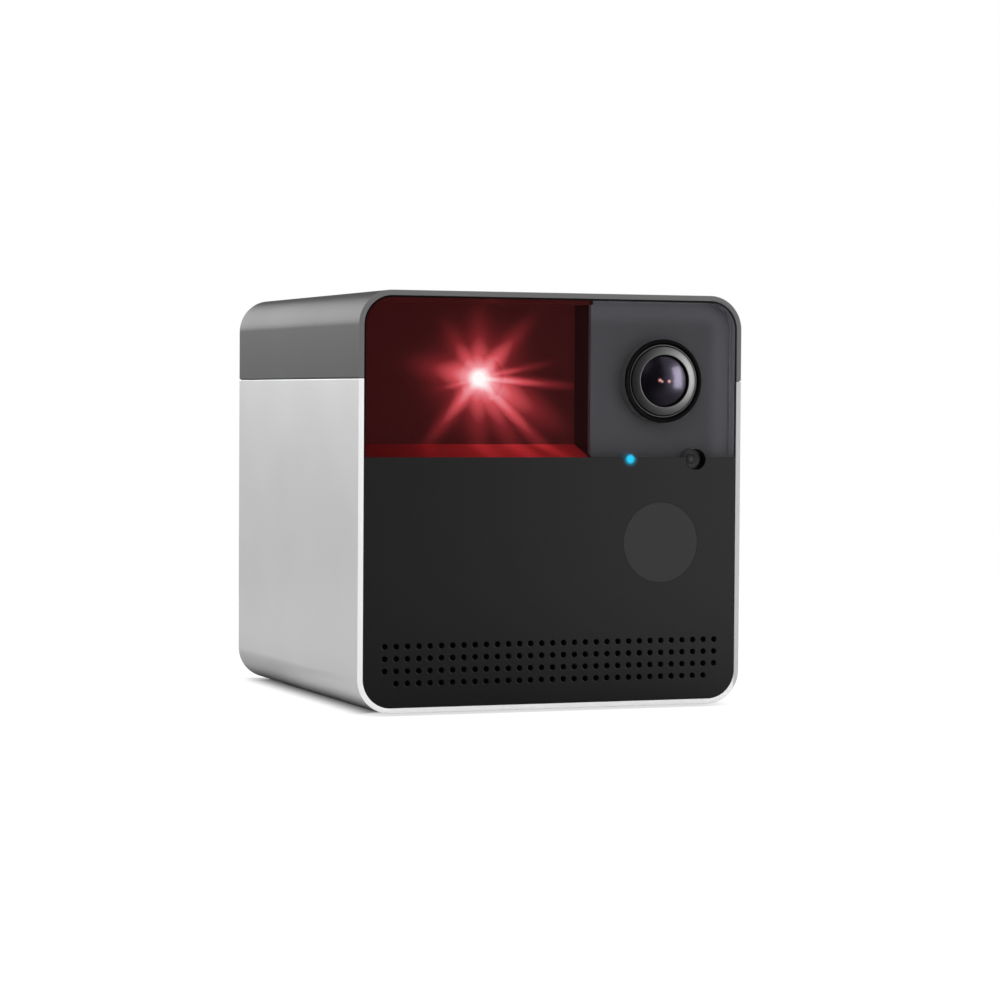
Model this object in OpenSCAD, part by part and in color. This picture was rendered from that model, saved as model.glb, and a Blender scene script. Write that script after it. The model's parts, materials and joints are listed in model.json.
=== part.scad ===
// Cube-shaped pet camera with a steerable laser pointer behind a smoked window.
// Millimetres, Z up, front towards -Y. The origin lies on the table, under the middle of the body.

/* [Housing] */
// Width of the housing
body_w = 81; // [78:0.5:100]
// Height of the housing without its foot pad
body_h = 82; // [80:0.5:100]
// Depth of the housing from front rim to rear rim
body_d = 83; // [80:0.5:110]
// Corner radius of the housing seen from the front
corner_r = 6.8; // [5:0.1:9]
// Wall thickness of the side shell and the top cap
wall_t = 1.05; // [0.8:0.05:1.6]
// Chamfer along the front and rear rims
edge_chamfer = 0.4; // [0.1:0.05:0.6]
// Height of the top cap, from its lower edge to the top
cap_h = 17.15; // [14:0.05:20]
// Open seam between the side shell and the top cap
seam_gap = 0.15; // [0.05:0.05:0.3]

/* [Front plates] */
// Depth of the front plates behind the rim
panel_recess = 0.15; // [0.05:0.05:0.6]
// Thickness of the front panel and the front window
panel_t = 2; // [1.5:0.1:2.5]
// Gap between the plates and the housing wall
panel_gap = 0.08; // [0.04:0.01:0.2]
// Height of the smoked window
window_h = 31.3; // [30:0.1:33]

/* [Speaker grille] */
// Number of hole columns
grille_columns = 31; // [21:2:31]
// Number of hole rows
grille_rows = 4; // [2:1:4]
// Distance of the outermost hole columns from the housing wall
grille_margin = 4.5; // [4.4:0.1:8]
// Distance between hole rows
grille_pitch_z = 2.4; // [2:0.05:2.5]
// Diameter of a grille hole
grille_hole_d = 1.15; // [0.8:0.05:1.3]
// Height of the middle of the grille
grille_z = 9.9; // [9.5:0.1:12]

/* [Camera] */
// Distance of the lens axis from the right housing wall
lens_edge = 15.95; // [15:0.05:17]
// How far the lens axis lies below the middle of the window
lens_drop = 0.45; // [0:0.05:1]
// Radius of the trim ring round the lens
trim_r = 8.4; // [8:0.1:9]
// Radius of the lens barrel
barrel_r = 6.9; // [6.5:0.05:7.2]
// Radius of the domed front glass
glass_r = 5.2; // [4.5:0.1:5.6]
// How far the domed glass stands in front of the rim
lens_proud = 1; // [0.5:0.1:2]
// Depth of the camera plate behind the rim
plate_depth = 3.1; // [2.8:0.1:3.6]

/* [Status light, light sensor and night light] */
// Distance of the status light to the left of the lens axis
status_side = 7.1; // [6:0.1:8]
// Radius of the status light pipe
status_r = 0.95; // [0.6:0.05:1.2]
// Distance of the light sensor to the right of the lens axis
sensor_side = 7.2; // [6:0.1:8]
// Radius of the light sensor hole
sensor_hole_r = 2.15; // [1.8:0.05:2.3]
// Distance of the night light window to the left of the lens axis
night_side = 0.4; // [0:0.1:1]
// Height of the night light window as a share of the front panel's height
night_share = 0.65; // [0.62:0.01:0.7]
// Radius of the night light window
night_r = 8; // [7:0.1:8.5]

/* [Laser pointer] */
// Distance of the laser from the right chamber wall
laser_side = 20.3; // [19:0.1:22]
// Depth of the laser chamber behind the rim
chamber_depth = 10; // [9:0.1:11]
// Distance of the right chamber wall to the left of the lens axis
chamber_side = 14.6; // [14:0.1:15]
// Radius of the ball that carries the laser barrel
ball_r = 6; // [5.8:0.05:6.2]
// Radius of the laser barrel
laser_r = 3; // [2.5:0.1:3.2]
// Gear module of both drives
gear_module = 0.5; // [0.45:0.01:0.52]
// Teeth of the whole circle that the pan sector is cut from
pan_teeth = 32; // [30:1:34]
// Teeth of the whole circle that the tilt sector is cut from
tilt_teeth = 44; // [42:1:46]
// Teeth of each motor pinion
pinion_teeth = 12; // [12:1:14]
// Radius of the two drive motors
motor_r = 4; // [3.5:0.1:4]

/* [Rear and base] */
// Thickness of the rear cover
rear_t = 2; // [1.5:0.1:2.5]
// Depth of the rear cover inside the rear rim
rear_recess = 0.3; // [0.1:0.05:0.6]
// Height of the power socket above the table
socket_z = 14; // [13:0.5:16]
// Distance of the reset button to the right of the middle
reset_x = 12; // [10:0.5:16]
// Radius of the reset button
reset_r = 1.42; // [1.2:0.01:1.6]
// How far the reset button travels
reset_travel = 0.3; // [0.2:0.05:0.4]
// Thickness of the rubber foot pad
foot_proud = 0.5; // [0.3:0.1:1]
// Radius of the tripod thread core, a quarter inch with 20 turns per inch
tripod_r = 2.55; // [2.5:0.01:2.6]
// Length of the tripod thread
tripod_length = 8; // [6:0.5:10]

/* [Hidden] */
$fn = 64;

// Shared clearances and sheet sizes
cut_over = 1;
running_gap = 0.05;
free_gap = 0.4;
seat_gap = 0.2;
board_t = 1.2;

// Housing planes
front_y = (lens_proud - body_d) / 2;
inner_half_w = body_w / 2 - wall_t;
inner_floor = foot_proud + wall_t;
inner_top = foot_proud + body_h - wall_t;
seam_z = foot_proud + body_h - cap_h;
split_z = inner_top - window_h;
panel_back = panel_recess + panel_t;
rear_out = body_d - rear_recess;
rear_in = rear_out - rear_t;

// Places across the body, counted from the right wall
lens_x = inner_half_w - lens_edge;
status_x = lens_x - status_side;
sensor_x = lens_x + sensor_side;
night_x = lens_x - night_side;
chamber_right_x = lens_x - chamber_side;
laser_x = chamber_right_x - laser_side;

// Chassis: front ring, shelf, corner rails and rear ring
ring_w = 2.5;
rear_ring_w = 9;
rear_ring_t = 4;
front_ring_back = 8;
shelf_t = 1.6;
shelf_drop = 1.15;
shelf_top = split_z - shelf_drop;
rail_w = 11;
rail_h = 5.5;
web_t = 1.2;
web_h = 13;
rear_ring_front = rear_in - rear_ring_t;
chassis_inset = wall_t + seat_gap;
rail_front = 6;
board_screw_bite = 2.5;
tongue_depths = [20, 55];
tongue_long = 10;
tongue_thick = 1;
tongue_drop = 5;
tongue_grip = 4;

// Camera stack, measured as depths behind the front rim
lens_z = (split_z + inner_top) / 2 - lens_drop;
plate_t = 1.2;
plate_back = plate_depth + plate_t;
trim_front = 0.3;
face_depth = 0.1;
face_bevel = 0.45;
barrel_back = 13;
holder_half = 10;
holder_back = 20;
slot_front = barrel_back + seat_gap;
slot_t = 2;
slot_h = 9;
slider_t = 1.2;
slider_front = slot_front + (slot_t - slider_t) / 2;
slider_travel = 6;
filter_size = 5;
slider_rim = 2;
camera_board_half = 11.8;
sensor_t = 1;
camera_screw_offset = 8;
camera_screw_r = 0.9;
camera_screw_bite = 4;
screw_head_t = 1.2;
trim_gap = 0.1;
trim_in_r = barrel_r + trim_gap;
trim_rim = 0.65;
trim_funnel = 1;
barrel_bore_r = 3.5;
glass_seat = 1.6;
dome_r = 9;
sensor_well = 11;
sensor_well_t = 3;
coil_half_w = 6;
coil_r = 2.5;
coil_wire_r = 2.4;
coil_base = 1;
sensor_chip_w = 8;
sensor_chip_h = 6;
gusset_gap = 1.4;
gusset_edge = 1.2;
gusset_x = chamber_right_x + gusset_gap;
gusset_right = inner_half_w - gusset_edge;
gusset_back = 24;
gusset_h = 10;

// Small front electronics
night_board_depth = 7;
front_board_depth = night_board_depth + board_t + seat_gap;
shelf_front = front_board_depth + board_t + free_gap;
front_board_drop = 4.6;
front_board_z = split_z - front_board_drop;
front_board_h = 9;
front_board_gap = 0.6;
front_board_left = gusset_x + plate_t + front_board_gap;
front_board_right = gusset_right - plate_t - front_board_gap;
plate_post_inset = 1.5;
plate_post_xs = [front_board_left + plate_post_inset, front_board_right - plate_post_inset];
mic_x = (status_x + sensor_x) / 2;
mic_w = 4;
mic_h = 3;
mic_t = 1.1;
sensor_bump = 0.3;
status_drop = 0.35;
status_z = split_z - status_drop;
sensor_drop = 0.4;
sensor_z = split_z - sensor_drop;
sensor_depth = 2.6;
led_size = 1.6;
led_t = 0.8;
plate_post_r = 1.2;
plate_post_rise = 2.6;
plate_post_z = split_z + plate_post_rise;
night_z = inner_floor + night_share * (split_z - inner_floor);
night_board_rim = 3;
night_board_half = night_r + night_board_rim;
night_post_r = 1.5;
night_flange = 1;
night_led_ring = 4.5;
night_led_r = 1.5;

// Speaker behind the grille
grille_pitch_x = 2 * (inner_half_w - grille_margin) / (grille_columns - 1);
grille_half_w = inner_half_w - grille_margin + grille_hole_d / 2;
grille_half_h = (grille_rows - 1) / 2 * grille_pitch_z + grille_hole_d / 2;
gasket_side = 0.15;
gasket_in_half_w = grille_half_w + gasket_side;
gasket_in_half_h = grille_half_h + free_gap;
gasket_w = 0.8;
gasket_t = 1;
gasket_back = panel_back + gasket_t;
speaker_plate_t = 1.4;
speaker_plate_back = gasket_back + speaker_plate_t;
box_side_gap = 0.95;
basket_gap = 0.075;
magnet_rim = 0.6;
box_half_w = inner_half_w - rail_w - box_side_gap;
box_half_h = gasket_in_half_h + gasket_w;
box_back = 28;
box_wall = 1.1;
basket_half_w = box_half_w - box_wall - free_gap;
basket_half_h = box_half_h - box_wall - basket_gap;
basket_wall = 0.9;
basket_t = 3.4;
basket_back = speaker_plate_back + basket_t;
magnet_t = 6;
magnet_back = basket_back + magnet_t;
magnet_half_w = 12;
magnet_half_h = basket_half_h - magnet_rim;
cone_t = 0.5;
cone_rim_w = 2.5;
cone_rim_h = 1.5;
coil_gap = 1;

// Laser mechanism: the pan axis is upright and the tilt axis runs across, both through the ball
laser_drop = 0.2;
laser_z = (split_z + inner_top) / 2 - laser_drop;
chamber_wall = 1;
chamber_back = chamber_depth + chamber_wall;
chamber_draft = 0.55;
chamber_right_back_x = chamber_right_x - chamber_draft;
chamber_ramp = 2.45;
pivot_depth = chamber_depth + ball_r + seat_gap;
pivot_y = front_y + pivot_depth;
aperture_share = 0.8;
aperture_r = ball_r * aperture_share;
pan_limit = 30;
tilt_down_limit = 30;
tilt_up_limit = 10;
pan_pitch_r = pan_teeth * gear_module / 2;
tilt_pitch_r = tilt_teeth * gear_module / 2;
pinion_pitch_r = pinion_teeth * gear_module / 2;
pan_centres = pan_pitch_r + pinion_pitch_r;
tilt_centres = tilt_pitch_r + pinion_pitch_r;
tilt_mesh_angle = 25;
pressure_angle = 25;
backlash = 0.16;
addendum = 0.9 * gear_module;
dedendum = 1.35 * gear_module;
shaft_r = 0.75;
pin_r = 0.75;
pin_inner = 4;
arm_gap = 0.35;
arm_t = 1.25;
arm_inner = ball_r + arm_gap;
arm_outer = arm_inner + arm_t;
arm_front = 1.2;
arm_back = 3;
arm_over = 2.2;
yoke_t = 1.6;
yoke_gap = 0.6;
yoke_top = laser_z - ball_r - yoke_gap;
yoke_bottom = yoke_top - yoke_t;
pan_shaft_r = 1.5;
sector_t = 2;
sector_bottom = yoke_bottom - sector_t;
bush_flange_t = 0.4;
bush_flange_r = 3.2;
bush_r = 2.2;
bracket_top = sector_bottom - seat_gap - bush_flange_t;
bracket_t = 1.6;
bracket_bottom = bracket_top - bracket_t;
bracket_half_w = 13;
bracket_leg = 3;
bracket_rim = 2;
bracket_back = pivot_depth + pan_centres + motor_r + bracket_rim;
shaft_out = 1.6;
shaft_end = bracket_bottom - shaft_out;
pan_motor_h = 9;
pan_pinion_y = pivot_y + pan_centres;
tilt_axis_y = pivot_y + tilt_centres * cos(tilt_mesh_angle);
tilt_axis_z = laser_z + tilt_centres * sin(tilt_mesh_angle);
tilt_plate_x = 3.6;
tilt_plate_t = 1.6;
tilt_motor_left = -8;
tilt_motor_right = 2.4;
laser_back = 9;
laser_lens_r = 1.6;
laser_lens_t = 1.2;
laser_lens_set = 0.2;
saddle_half = 3;
saddle_left = -6;
saddle_right = 1;

// Rear electronics
main_room = 9.1;
main_depth = rear_in - main_room;
main_t = 1.6;
main_back = main_depth + main_t;
main_edge = 3.4;
main_half_w = inner_half_w - main_edge;
main_bottom = inner_floor + rail_h + free_gap;
main_top_gap = 0.6;
main_top = shelf_top - shelf_t - main_top_gap;
main_screw_side = 3;
main_screw_x = main_half_w - main_screw_side;
main_screw_inset = 3.5;
main_screw_z = [main_bottom + main_screw_inset, main_top - main_screw_inset];
boss_r = 2.5;
screw_r = 1;
processor_size = 14;
processor_t = 1.4;
processor_z = (main_bottom + main_top) / 2;
sink_size = 18;
sink_base = 1.4;
sink_fin_h = 4.6;
sink_fins = 6;
sink_fin_t = 1;
socket_w = 8.94;
socket_h = 3.26;
socket_wall = 0.3;
socket_set = 0.4;
socket_mouth = rear_out - socket_set;
socket_floor_t = 2;
tongue_w = 6.6;
tongue_t = 0.7;
socket_hole_gap = 0.15;
switch_size = 4.5;
switch_t = 3.4;
switch_top_t = 0.6;
button_flange_r = 2.3;
button_flange_t = 1.1;
button_flange_front = rear_in - seat_gap - button_flange_t;
button_free = 0.1;
button_front = main_back + switch_t + switch_top_t + reset_travel + button_free;
button_set = 0.2;
button_out = rear_out - button_set;
hook_h = 8;
hook_t = 1.2;
hook_lip = 0.75;
hook_lip_t = 1.1;
hook_low = 22.45;
hook_zs = [inner_floor + hook_low, shelf_top + hook_h];
ribbon_w = 10;
ribbon_t = 0.3;
ribbon_room = 11.6;
ribbon_drop_depth = main_depth - ribbon_room;
ribbon_rise = 8;
ribbon_top_z = split_z + ribbon_rise;
ribbon_drop = 6;
ribbon_low_z = main_top - ribbon_drop;
ribbon_slot = 1;
antenna_w = 30;
antenna_d = 8;
antenna_t = 0.4;
antenna_back = 31;
antenna_depth = body_d - antenna_back;

// Base
pad_margin = 7;
pad_r = 5;
insert_r = 4.5;
insert_flange_r = 7;
insert_flange_t = 1.4;
insert_cap = 1.2;
pad_hole_r = 7.5;
base_screw_inset = 9;
base_screw_x = inner_half_w - base_screw_inset;
base_screw_head_r = 2.2;
base_screw_length = 4.4;
base_screw_front = 14;
base_screw_rear = 8;
base_screw_depths = [base_screw_front, rear_ring_front - base_screw_rear];

// A flat drawing in X and Z becomes a slab between two depths behind the front rim
module slab(from, to) {
    translate([0, front_y + to, 0])
        rotate([90, 0, 0])
            linear_extrude(to - from)
                children();
}

// A flat drawing in Y and Z, measured from the pivot, becomes a slab across the body
module across(from, to) {
    translate([laser_x + from, pivot_y, laser_z])
        rotate([90, 0, 90])
            linear_extrude(to - from)
                children();
}

// A box given by its X range, depth range and Z range
module block(x, depth, z) {
    translate([x[0], front_y + depth[0], z[0]])
        cube([x[1] - x[0], depth[1] - depth[0], z[1] - z[0]]);
}

// A round rod that runs front to back
module rod(x, z, r, from, to) {
    slab(from, to)
        translate([x, z])
            circle(r);
}

// A rectangle with round corners, its lower edge on the drawing's X axis
module round_rect(w, h, r) {
    translate([r - w / 2, 0])
        square([w - 2 * r, h]);
    translate([-w / 2, r])
        square([w, h - 2 * r]);
    for (x = [r - w / 2, w / 2 - r], z = [r, h - r])
        translate([x, z])
            circle(r);
}

// A long hole or pill outline round the origin
module pill(half_w, half_h) {
    square([2 * (half_w - half_h), 2 * half_h], center = true);
    for (side = [-1, 1])
        translate([side * (half_w - half_h), 0])
            circle(half_h);
}

// The housing's front outline, drawn in by an inset
module body_outline(inset) {
    translate([0, foot_proud + inset])
        round_rect(body_w - 2 * inset, body_h - 2 * inset, corner_r - inset);
}

// The part of a flat drawing that lies between two heights
module band(low, high) {
    intersection() {
        children();
        translate([-body_w, low])
            square([2 * body_w, high - low]);
    }
}

// The whole housing block with its chamfered rims
module housing_block() {
    c = edge_chamfer;
    translate([corner_r - body_w / 2, front_y, foot_proud])
        rotate([90, 0, 90])
            linear_extrude(body_w - 2 * corner_r)
                chamfered_rect(body_d, body_h, c);
    translate([-body_w / 2, front_y, foot_proud + corner_r])
        linear_extrude(body_h - 2 * corner_r)
            chamfered_rect(body_w, body_d, c);
    for (x = [corner_r - body_w / 2, body_w / 2 - corner_r], z = [corner_r, body_h - corner_r])
        translate([x, front_y, foot_proud + z])
            rotate([-90, 0, 0])
                rotate_extrude()
                    intersection() {
                        translate([-corner_r, 0])
                            chamfered_rect(2 * corner_r, body_d, c);
                        square([corner_r, body_d]);
                    }
}

module chamfered_rect(w, h, c) {
    polygon([[c, 0], [w - c, 0], [w, c], [w, h - c], [w - c, h], [c, h], [0, h - c], [0, c]]);
}

// The housing's wall between two heights
module housing_wall(low, high) {
    intersection() {
        difference() {
            housing_block();
            slab(-body_d, 2 * body_d)
                body_outline(wall_t);
        }
        block([-body_w, body_w], [-body_d, 2 * body_d], [low, high]);
    }
}

// Housing and base

module side_shell() {
    color("gainsboro")
        difference() {
            housing_wall(0, seam_z);
            translate([0, front_y + body_d / 2, 0])
                cylinder(r = insert_r, h = inner_floor + cut_over);
            for (x = [-base_screw_x, base_screw_x], depth = base_screw_depths)
                translate([x, front_y + depth, foot_proud])
                    cylinder(r1 = base_screw_head_r, r2 = screw_r, h = wall_t);
        }
}

module top_cap() {
    color("dimgray") {
        housing_wall(seam_z + seam_gap, foot_proud + body_h);
        for (side = [0, 1], depth = tongue_depths)
            mirror([side, 0, 0])
                block([inner_half_w - seam_gap - tongue_thick, inner_half_w - seam_gap],
                    [depth, depth + tongue_long], [seam_z - tongue_drop, seam_z + tongue_grip]);
        for (side = [0, 1], depth = tongue_depths)
            mirror([side, 0, 0])
                block([inner_half_w - seam_gap - tongue_thick, inner_half_w + wall_t / 2],
                    [depth, depth + tongue_long], [seam_z + seam_gap, seam_z + tongue_grip]);
    }
}

module foot_pad() {
    pad_w = body_w - 2 * pad_margin;
    pad_d = body_d - 2 * pad_margin;
    color("black")
        translate([0, front_y + pad_margin, 0])
            linear_extrude(foot_proud)
                difference() {
                    round_rect(pad_w, pad_d, pad_r);
                    translate([0, pad_d / 2])
                        circle(pad_hole_r);
                }
}

module tripod_insert() {
    color("goldenrod")
        translate([0, front_y + body_d / 2, foot_proud])
            difference() {
                union() {
                    cylinder(r = insert_r, h = tripod_length + insert_cap);
                    translate([0, 0, wall_t])
                        cylinder(r = insert_flange_r, h = insert_flange_t);
                }
                translate([0, 0, -cut_over])
                    cylinder(r = tripod_r, h = tripod_length + cut_over);
            }
}

module base_screws() {
    color("silver")
        for (x = [-base_screw_x, base_screw_x], depth = base_screw_depths)
            translate([x, front_y + depth, foot_proud]) {
                cylinder(r1 = base_screw_head_r, r2 = screw_r, h = wall_t);
                cylinder(r = screw_r, h = base_screw_length);
            }
}

module chassis() {
    color("darkslategray")
        difference() {
            union() {
                slab(panel_back, front_ring_back)
                    band(0, shelf_top)
                        difference() {
                            body_outline(chassis_inset);
                            body_outline(chassis_inset + ring_w);
                        }
                slab(rail_front, rear_in)
                    intersection() {
                        body_outline(chassis_inset);
                        for (side = [0, 1])
                            mirror([side, 0])
                                translate([inner_half_w - rail_w, 0])
                                    square([rail_w, inner_floor + rail_h]);
                    }
                for (side = [0, 1])
                    mirror([side, 0, 0])
                        block([inner_half_w - seat_gap - web_t, inner_half_w - seat_gap],
                            [panel_back, rear_in], [shelf_top - web_h, shelf_top]);
                block([seat_gap - inner_half_w, inner_half_w - seat_gap],
                    [shelf_front, rear_ring_front], [shelf_top - shelf_t, shelf_top]);
                slab(rear_ring_front, rear_in)
                    difference() {
                        body_outline(chassis_inset);
                        rear_opening();
                    }
                for (x = [-main_screw_x, main_screw_x], z = main_screw_z)
                    rod(x, z, boss_r, main_back, rear_in);
            }
            for (x = [-base_screw_x, base_screw_x], depth = base_screw_depths)
                translate([x, front_y + depth, 0])
                    cylinder(r = screw_r, h = foot_proud + base_screw_length);
            for (x = [-main_screw_x, main_screw_x], z = main_screw_z)
                rod(x, z, screw_r, main_depth, rear_ring_front + board_screw_bite);
            translate([laser_x, pan_pinion_y, shelf_top - 2 * shelf_t])
                cylinder(r = motor_r + free_gap, h = 3 * shelf_t);
            block([lens_x - ribbon_w / 2 - free_gap, lens_x + ribbon_w / 2 + free_gap],
                [ribbon_drop_depth - ribbon_slot, ribbon_drop_depth + ribbon_slot],
                [shelf_top - 2 * shelf_t, shelf_top + cut_over]);
        }
}

// The window in the rear ring, drawn flat
module rear_opening() {
    translate([0, inner_floor + rear_ring_w])
        round_rect(2 * (inner_half_w - rear_ring_w), inner_top - inner_floor - 2 * rear_ring_w, corner_r);
}

// Front plates

// The round holes that the status light and the light sensor share between both plates
module front_holes() {
    translate([status_x, status_z])
        circle(status_r + running_gap);
    translate([sensor_x, sensor_z])
        circle(sensor_hole_r);
}

module grille_holes() {
    for (row = [0 : grille_rows - 1], column = [0 : grille_columns - 1]) {
        last_row = row == grille_rows - 1;
        end_column = column == 0 || column == grille_columns - 1;
        if (!(last_row && end_column))
            translate([(column - (grille_columns - 1) / 2) * grille_pitch_x,
                    grille_z + ((grille_rows - 1) / 2 - row) * grille_pitch_z])
                circle(d = grille_hole_d);
    }
}

module front_panel() {
    color("#202023") {
        slab(panel_recess, panel_back)
            difference() {
                band(0, split_z)
                    body_outline(wall_t + panel_gap);
                front_holes();
                grille_holes();
                translate([night_x, night_z])
                    circle(night_r + running_gap);
            }
        for (side = [-1, 1])
            rod(night_x + side * night_r, night_z + side * night_r, night_post_r,
                panel_back - panel_t / 2, night_board_depth);
    }
}

module front_window() {
    color("#3a1517", 0.5)
        slab(panel_recess, panel_back)
            difference() {
                band(split_z, foot_proud + body_h)
                    body_outline(wall_t + panel_gap);
                front_holes();
                translate([lens_x, lens_z])
                    circle(trim_r + running_gap);
            }
}

module rear_cover() {
    hook_x = inner_half_w - rear_ring_w - seat_gap;
    hook_front = rear_ring_front - seat_gap - hook_lip_t;
    color("#202023") {
        slab(rear_in, rear_out)
            difference() {
                body_outline(wall_t + panel_gap);
                translate([0, socket_z])
                    pill(socket_w / 2 + socket_hole_gap, socket_h / 2 + socket_hole_gap);
                translate([reset_x, socket_z])
                    circle(reset_r + running_gap);
            }
        for (side = [0, 1], z = hook_zs)
            mirror([side, 0, 0]) {
                block([hook_x - hook_t, hook_x], [hook_front, rear_in + rear_t / 2], [z, z + hook_h]);
                block([hook_x - hook_t, hook_x + hook_lip], [hook_front, hook_front + hook_lip_t],
                    [z, z + hook_h]);
            }
    }
}

// Camera

module camera_plate() {
    color("#48484c")
        difference() {
            union() {
                slab(plate_depth, plate_back)
                    intersection() {
                        body_outline(wall_t + panel_gap);
                        translate([chamber_right_x, split_z - panel_gap])
                            square([body_w, body_h]);
                    }
                for (x = [gusset_x, gusset_right - plate_t])
                    block([x, x + plate_t], [plate_depth, gusset_back], [shelf_top, shelf_top + gusset_h]);
                for (x = plate_post_xs)
                    rod(x, plate_post_z, plate_post_r, plate_back - plate_t / 2, front_board_depth);
            }
            slab(plate_depth - cut_over, plate_back + cut_over) {
                translate([lens_x, lens_z])
                    circle(barrel_r);
                front_holes();
            }
        }
}

// A turned part round the lens axis, from a profile of radius and depth
module turned_on_lens() {
    translate([lens_x, front_y, lens_z])
        rotate([-90, 0, 0])
            rotate_extrude()
                children();
}

module lens_trim_ring() {
    color("black")
        turned_on_lens()
            polygon([
                [trim_in_r, plate_depth], [trim_r, plate_depth], [trim_r, trim_front],
                [trim_r - trim_rim, trim_front], [trim_in_r, trim_front + trim_funnel]
            ]);
}

module lens_barrel() {
    color("#5a5a5e")
        turned_on_lens()
            polygon([
                [barrel_bore_r, barrel_back], [barrel_r, barrel_back], [barrel_r, face_depth],
                [glass_r, face_depth - face_bevel], [glass_r, glass_seat], [barrel_bore_r, glass_seat]
            ]);
}

module lens_glass() {
    color("#15151c", 0.8)
        intersection() {
            rod(lens_x, lens_z, glass_r, -lens_proud - cut_over, glass_seat);
            translate([lens_x, front_y - lens_proud + dome_r, lens_z])
                sphere(dome_r);
        }
}

module lens_holder() {
    color("#303034")
        difference() {
            block([lens_x - holder_half, lens_x + holder_half], [plate_back, holder_back],
                [lens_z - holder_half, lens_z + holder_half]);
            rod(lens_x, lens_z, barrel_r, 0, barrel_back);
            rod(lens_x, lens_z, barrel_bore_r, 0, holder_back + cut_over);
            block([lens_x - body_w, lens_x + body_w], [slot_front, slot_front + slot_t],
                [lens_z - slot_h / 2, lens_z + slot_h / 2]);
            block([lens_x - sensor_well / 2, lens_x + sensor_well / 2],
                [holder_back - sensor_well_t, holder_back + cut_over],
                [lens_z - sensor_well / 2, lens_z + sensor_well / 2]);
            for (side = [-1, 1])
                rod(lens_x + side * camera_screw_offset, lens_z + side * camera_screw_offset, camera_screw_r,
                    holder_back - camera_screw_bite, holder_back + cut_over);
        }
}

// The two square openings of the filter slider, drawn flat round the lens axis
module filter_openings() {
    for (x = [0, -slider_travel])
        translate([lens_x + x, lens_z])
            square(filter_size, center = true);
}

module filter_slider() {
    slider_w = slider_travel + filter_size + 2 * slider_rim;
    slider_h = slot_h - 2 * seat_gap;
    color("black")
        slab(slider_front, slider_front + slider_t)
            difference() {
                translate([lens_x - slider_travel / 2, lens_z])
                    square([slider_w, slider_h], center = true);
                filter_openings();
            }
}

module filter_glasses() {
    color("lightblue", 0.5)
        slab(slider_front + slider_t / 4, slider_front + slider_t * 3 / 4)
            filter_openings();
}

module filter_coil() {
    coil_z = lens_z + holder_half;
    color("chocolate") {
        block([lens_x - coil_half_w, lens_x + coil_half_w],
            [slot_front - coil_r, slot_front + coil_r], [coil_z, coil_z + coil_base]);
        translate([lens_x - coil_half_w + coil_base, front_y + slot_front, coil_z + coil_r])
            rotate([0, 90, 0])
                cylinder(r = coil_wire_r, h = 2 * (coil_half_w - coil_base));
    }
}

module image_sensor() {
    color("darkgreen")
        block([lens_x - sensor_chip_w / 2, lens_x + sensor_chip_w / 2], [holder_back - sensor_t, holder_back],
            [lens_z - sensor_chip_h / 2, lens_z + sensor_chip_h / 2]);
}

module camera_board() {
    color("seagreen")
        slab(holder_back, holder_back + board_t)
            difference() {
                translate([lens_x, lens_z])
                    square(2 * camera_board_half, center = true);
                for (side = [-1, 1])
                    translate([lens_x + side * camera_screw_offset, lens_z + side * camera_screw_offset])
                        circle(camera_screw_r);
            }
}

module camera_screws() {
    head_front = holder_back + board_t;
    color("silver")
        for (side = [-1, 1]) {
            x = lens_x + side * camera_screw_offset;
            z = lens_z + side * camera_screw_offset;
            rod(x, z, camera_screw_r, holder_back - camera_screw_bite, head_front + screw_head_t);
            rod(x, z, 2 * camera_screw_r, head_front, head_front + screw_head_t);
        }
}

// Night light, status light, light sensor and microphone

module night_window() {
    color("#38383c") {
        rod(night_x, night_z, night_r, panel_recess, panel_back + night_flange);
        rod(night_x, night_z, night_r + night_flange, panel_back, panel_back + night_flange);
    }
}

module night_board() {
    color("seagreen")
        slab(night_board_depth, night_board_depth + board_t)
            translate([night_x, night_z])
                square(2 * night_board_half, center = true);
}

module night_leds() {
    color("lightsteelblue")
        for (turn = [45 : 90 : 315])
            translate([night_x + night_led_ring * cos(turn), front_y + night_board_depth,
                    night_z + night_led_ring * sin(turn)])
                rotate([90, 0, 0]) {
                    cylinder(r = night_led_r, h = night_led_r);
                    translate([0, 0, night_led_r])
                        sphere(night_led_r);
                }
}

module status_light_pipe() {
    color("deepskyblue")
        rod(status_x, status_z, status_r, panel_recess, front_board_depth - led_t);
}

module status_led() {
    color("white")
        block([status_x - led_size / 2, status_x + led_size / 2],
            [front_board_depth - led_t, front_board_depth],
            [status_z - led_size / 2, status_z + led_size / 2]);
}

module light_sensor() {
    color("#3c3c40") {
        rod(sensor_x, sensor_z, sensor_hole_r - running_gap, sensor_depth, front_board_depth);
        rod(sensor_x, sensor_z, sensor_hole_r / 2, sensor_depth - sensor_bump, front_board_depth);
    }
}

module microphone() {
    color("gold")
        block([mic_x - mic_w / 2, mic_x + mic_w / 2], [front_board_depth - mic_t, front_board_depth],
            [sensor_z - mic_h / 2, sensor_z + mic_h / 2]);
}

module front_board() {
    color("seagreen")
        block([front_board_left, front_board_right], [front_board_depth, front_board_depth + board_t],
            [front_board_z, front_board_z + front_board_h]);
}

// Speaker

// A pill-shaped slab round the middle of the grille
module grille_pill(half_w, half_h, from, to) {
    slab(from, to)
        translate([0, grille_z])
            pill(half_w, half_h);
}

module speaker_gasket() {
    color("#303030")
        difference() {
            grille_pill(gasket_in_half_w + gasket_w, box_half_h, panel_back, gasket_back);
            grille_pill(gasket_in_half_w, gasket_in_half_h, panel_back - cut_over, gasket_back + cut_over);
        }
}

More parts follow.
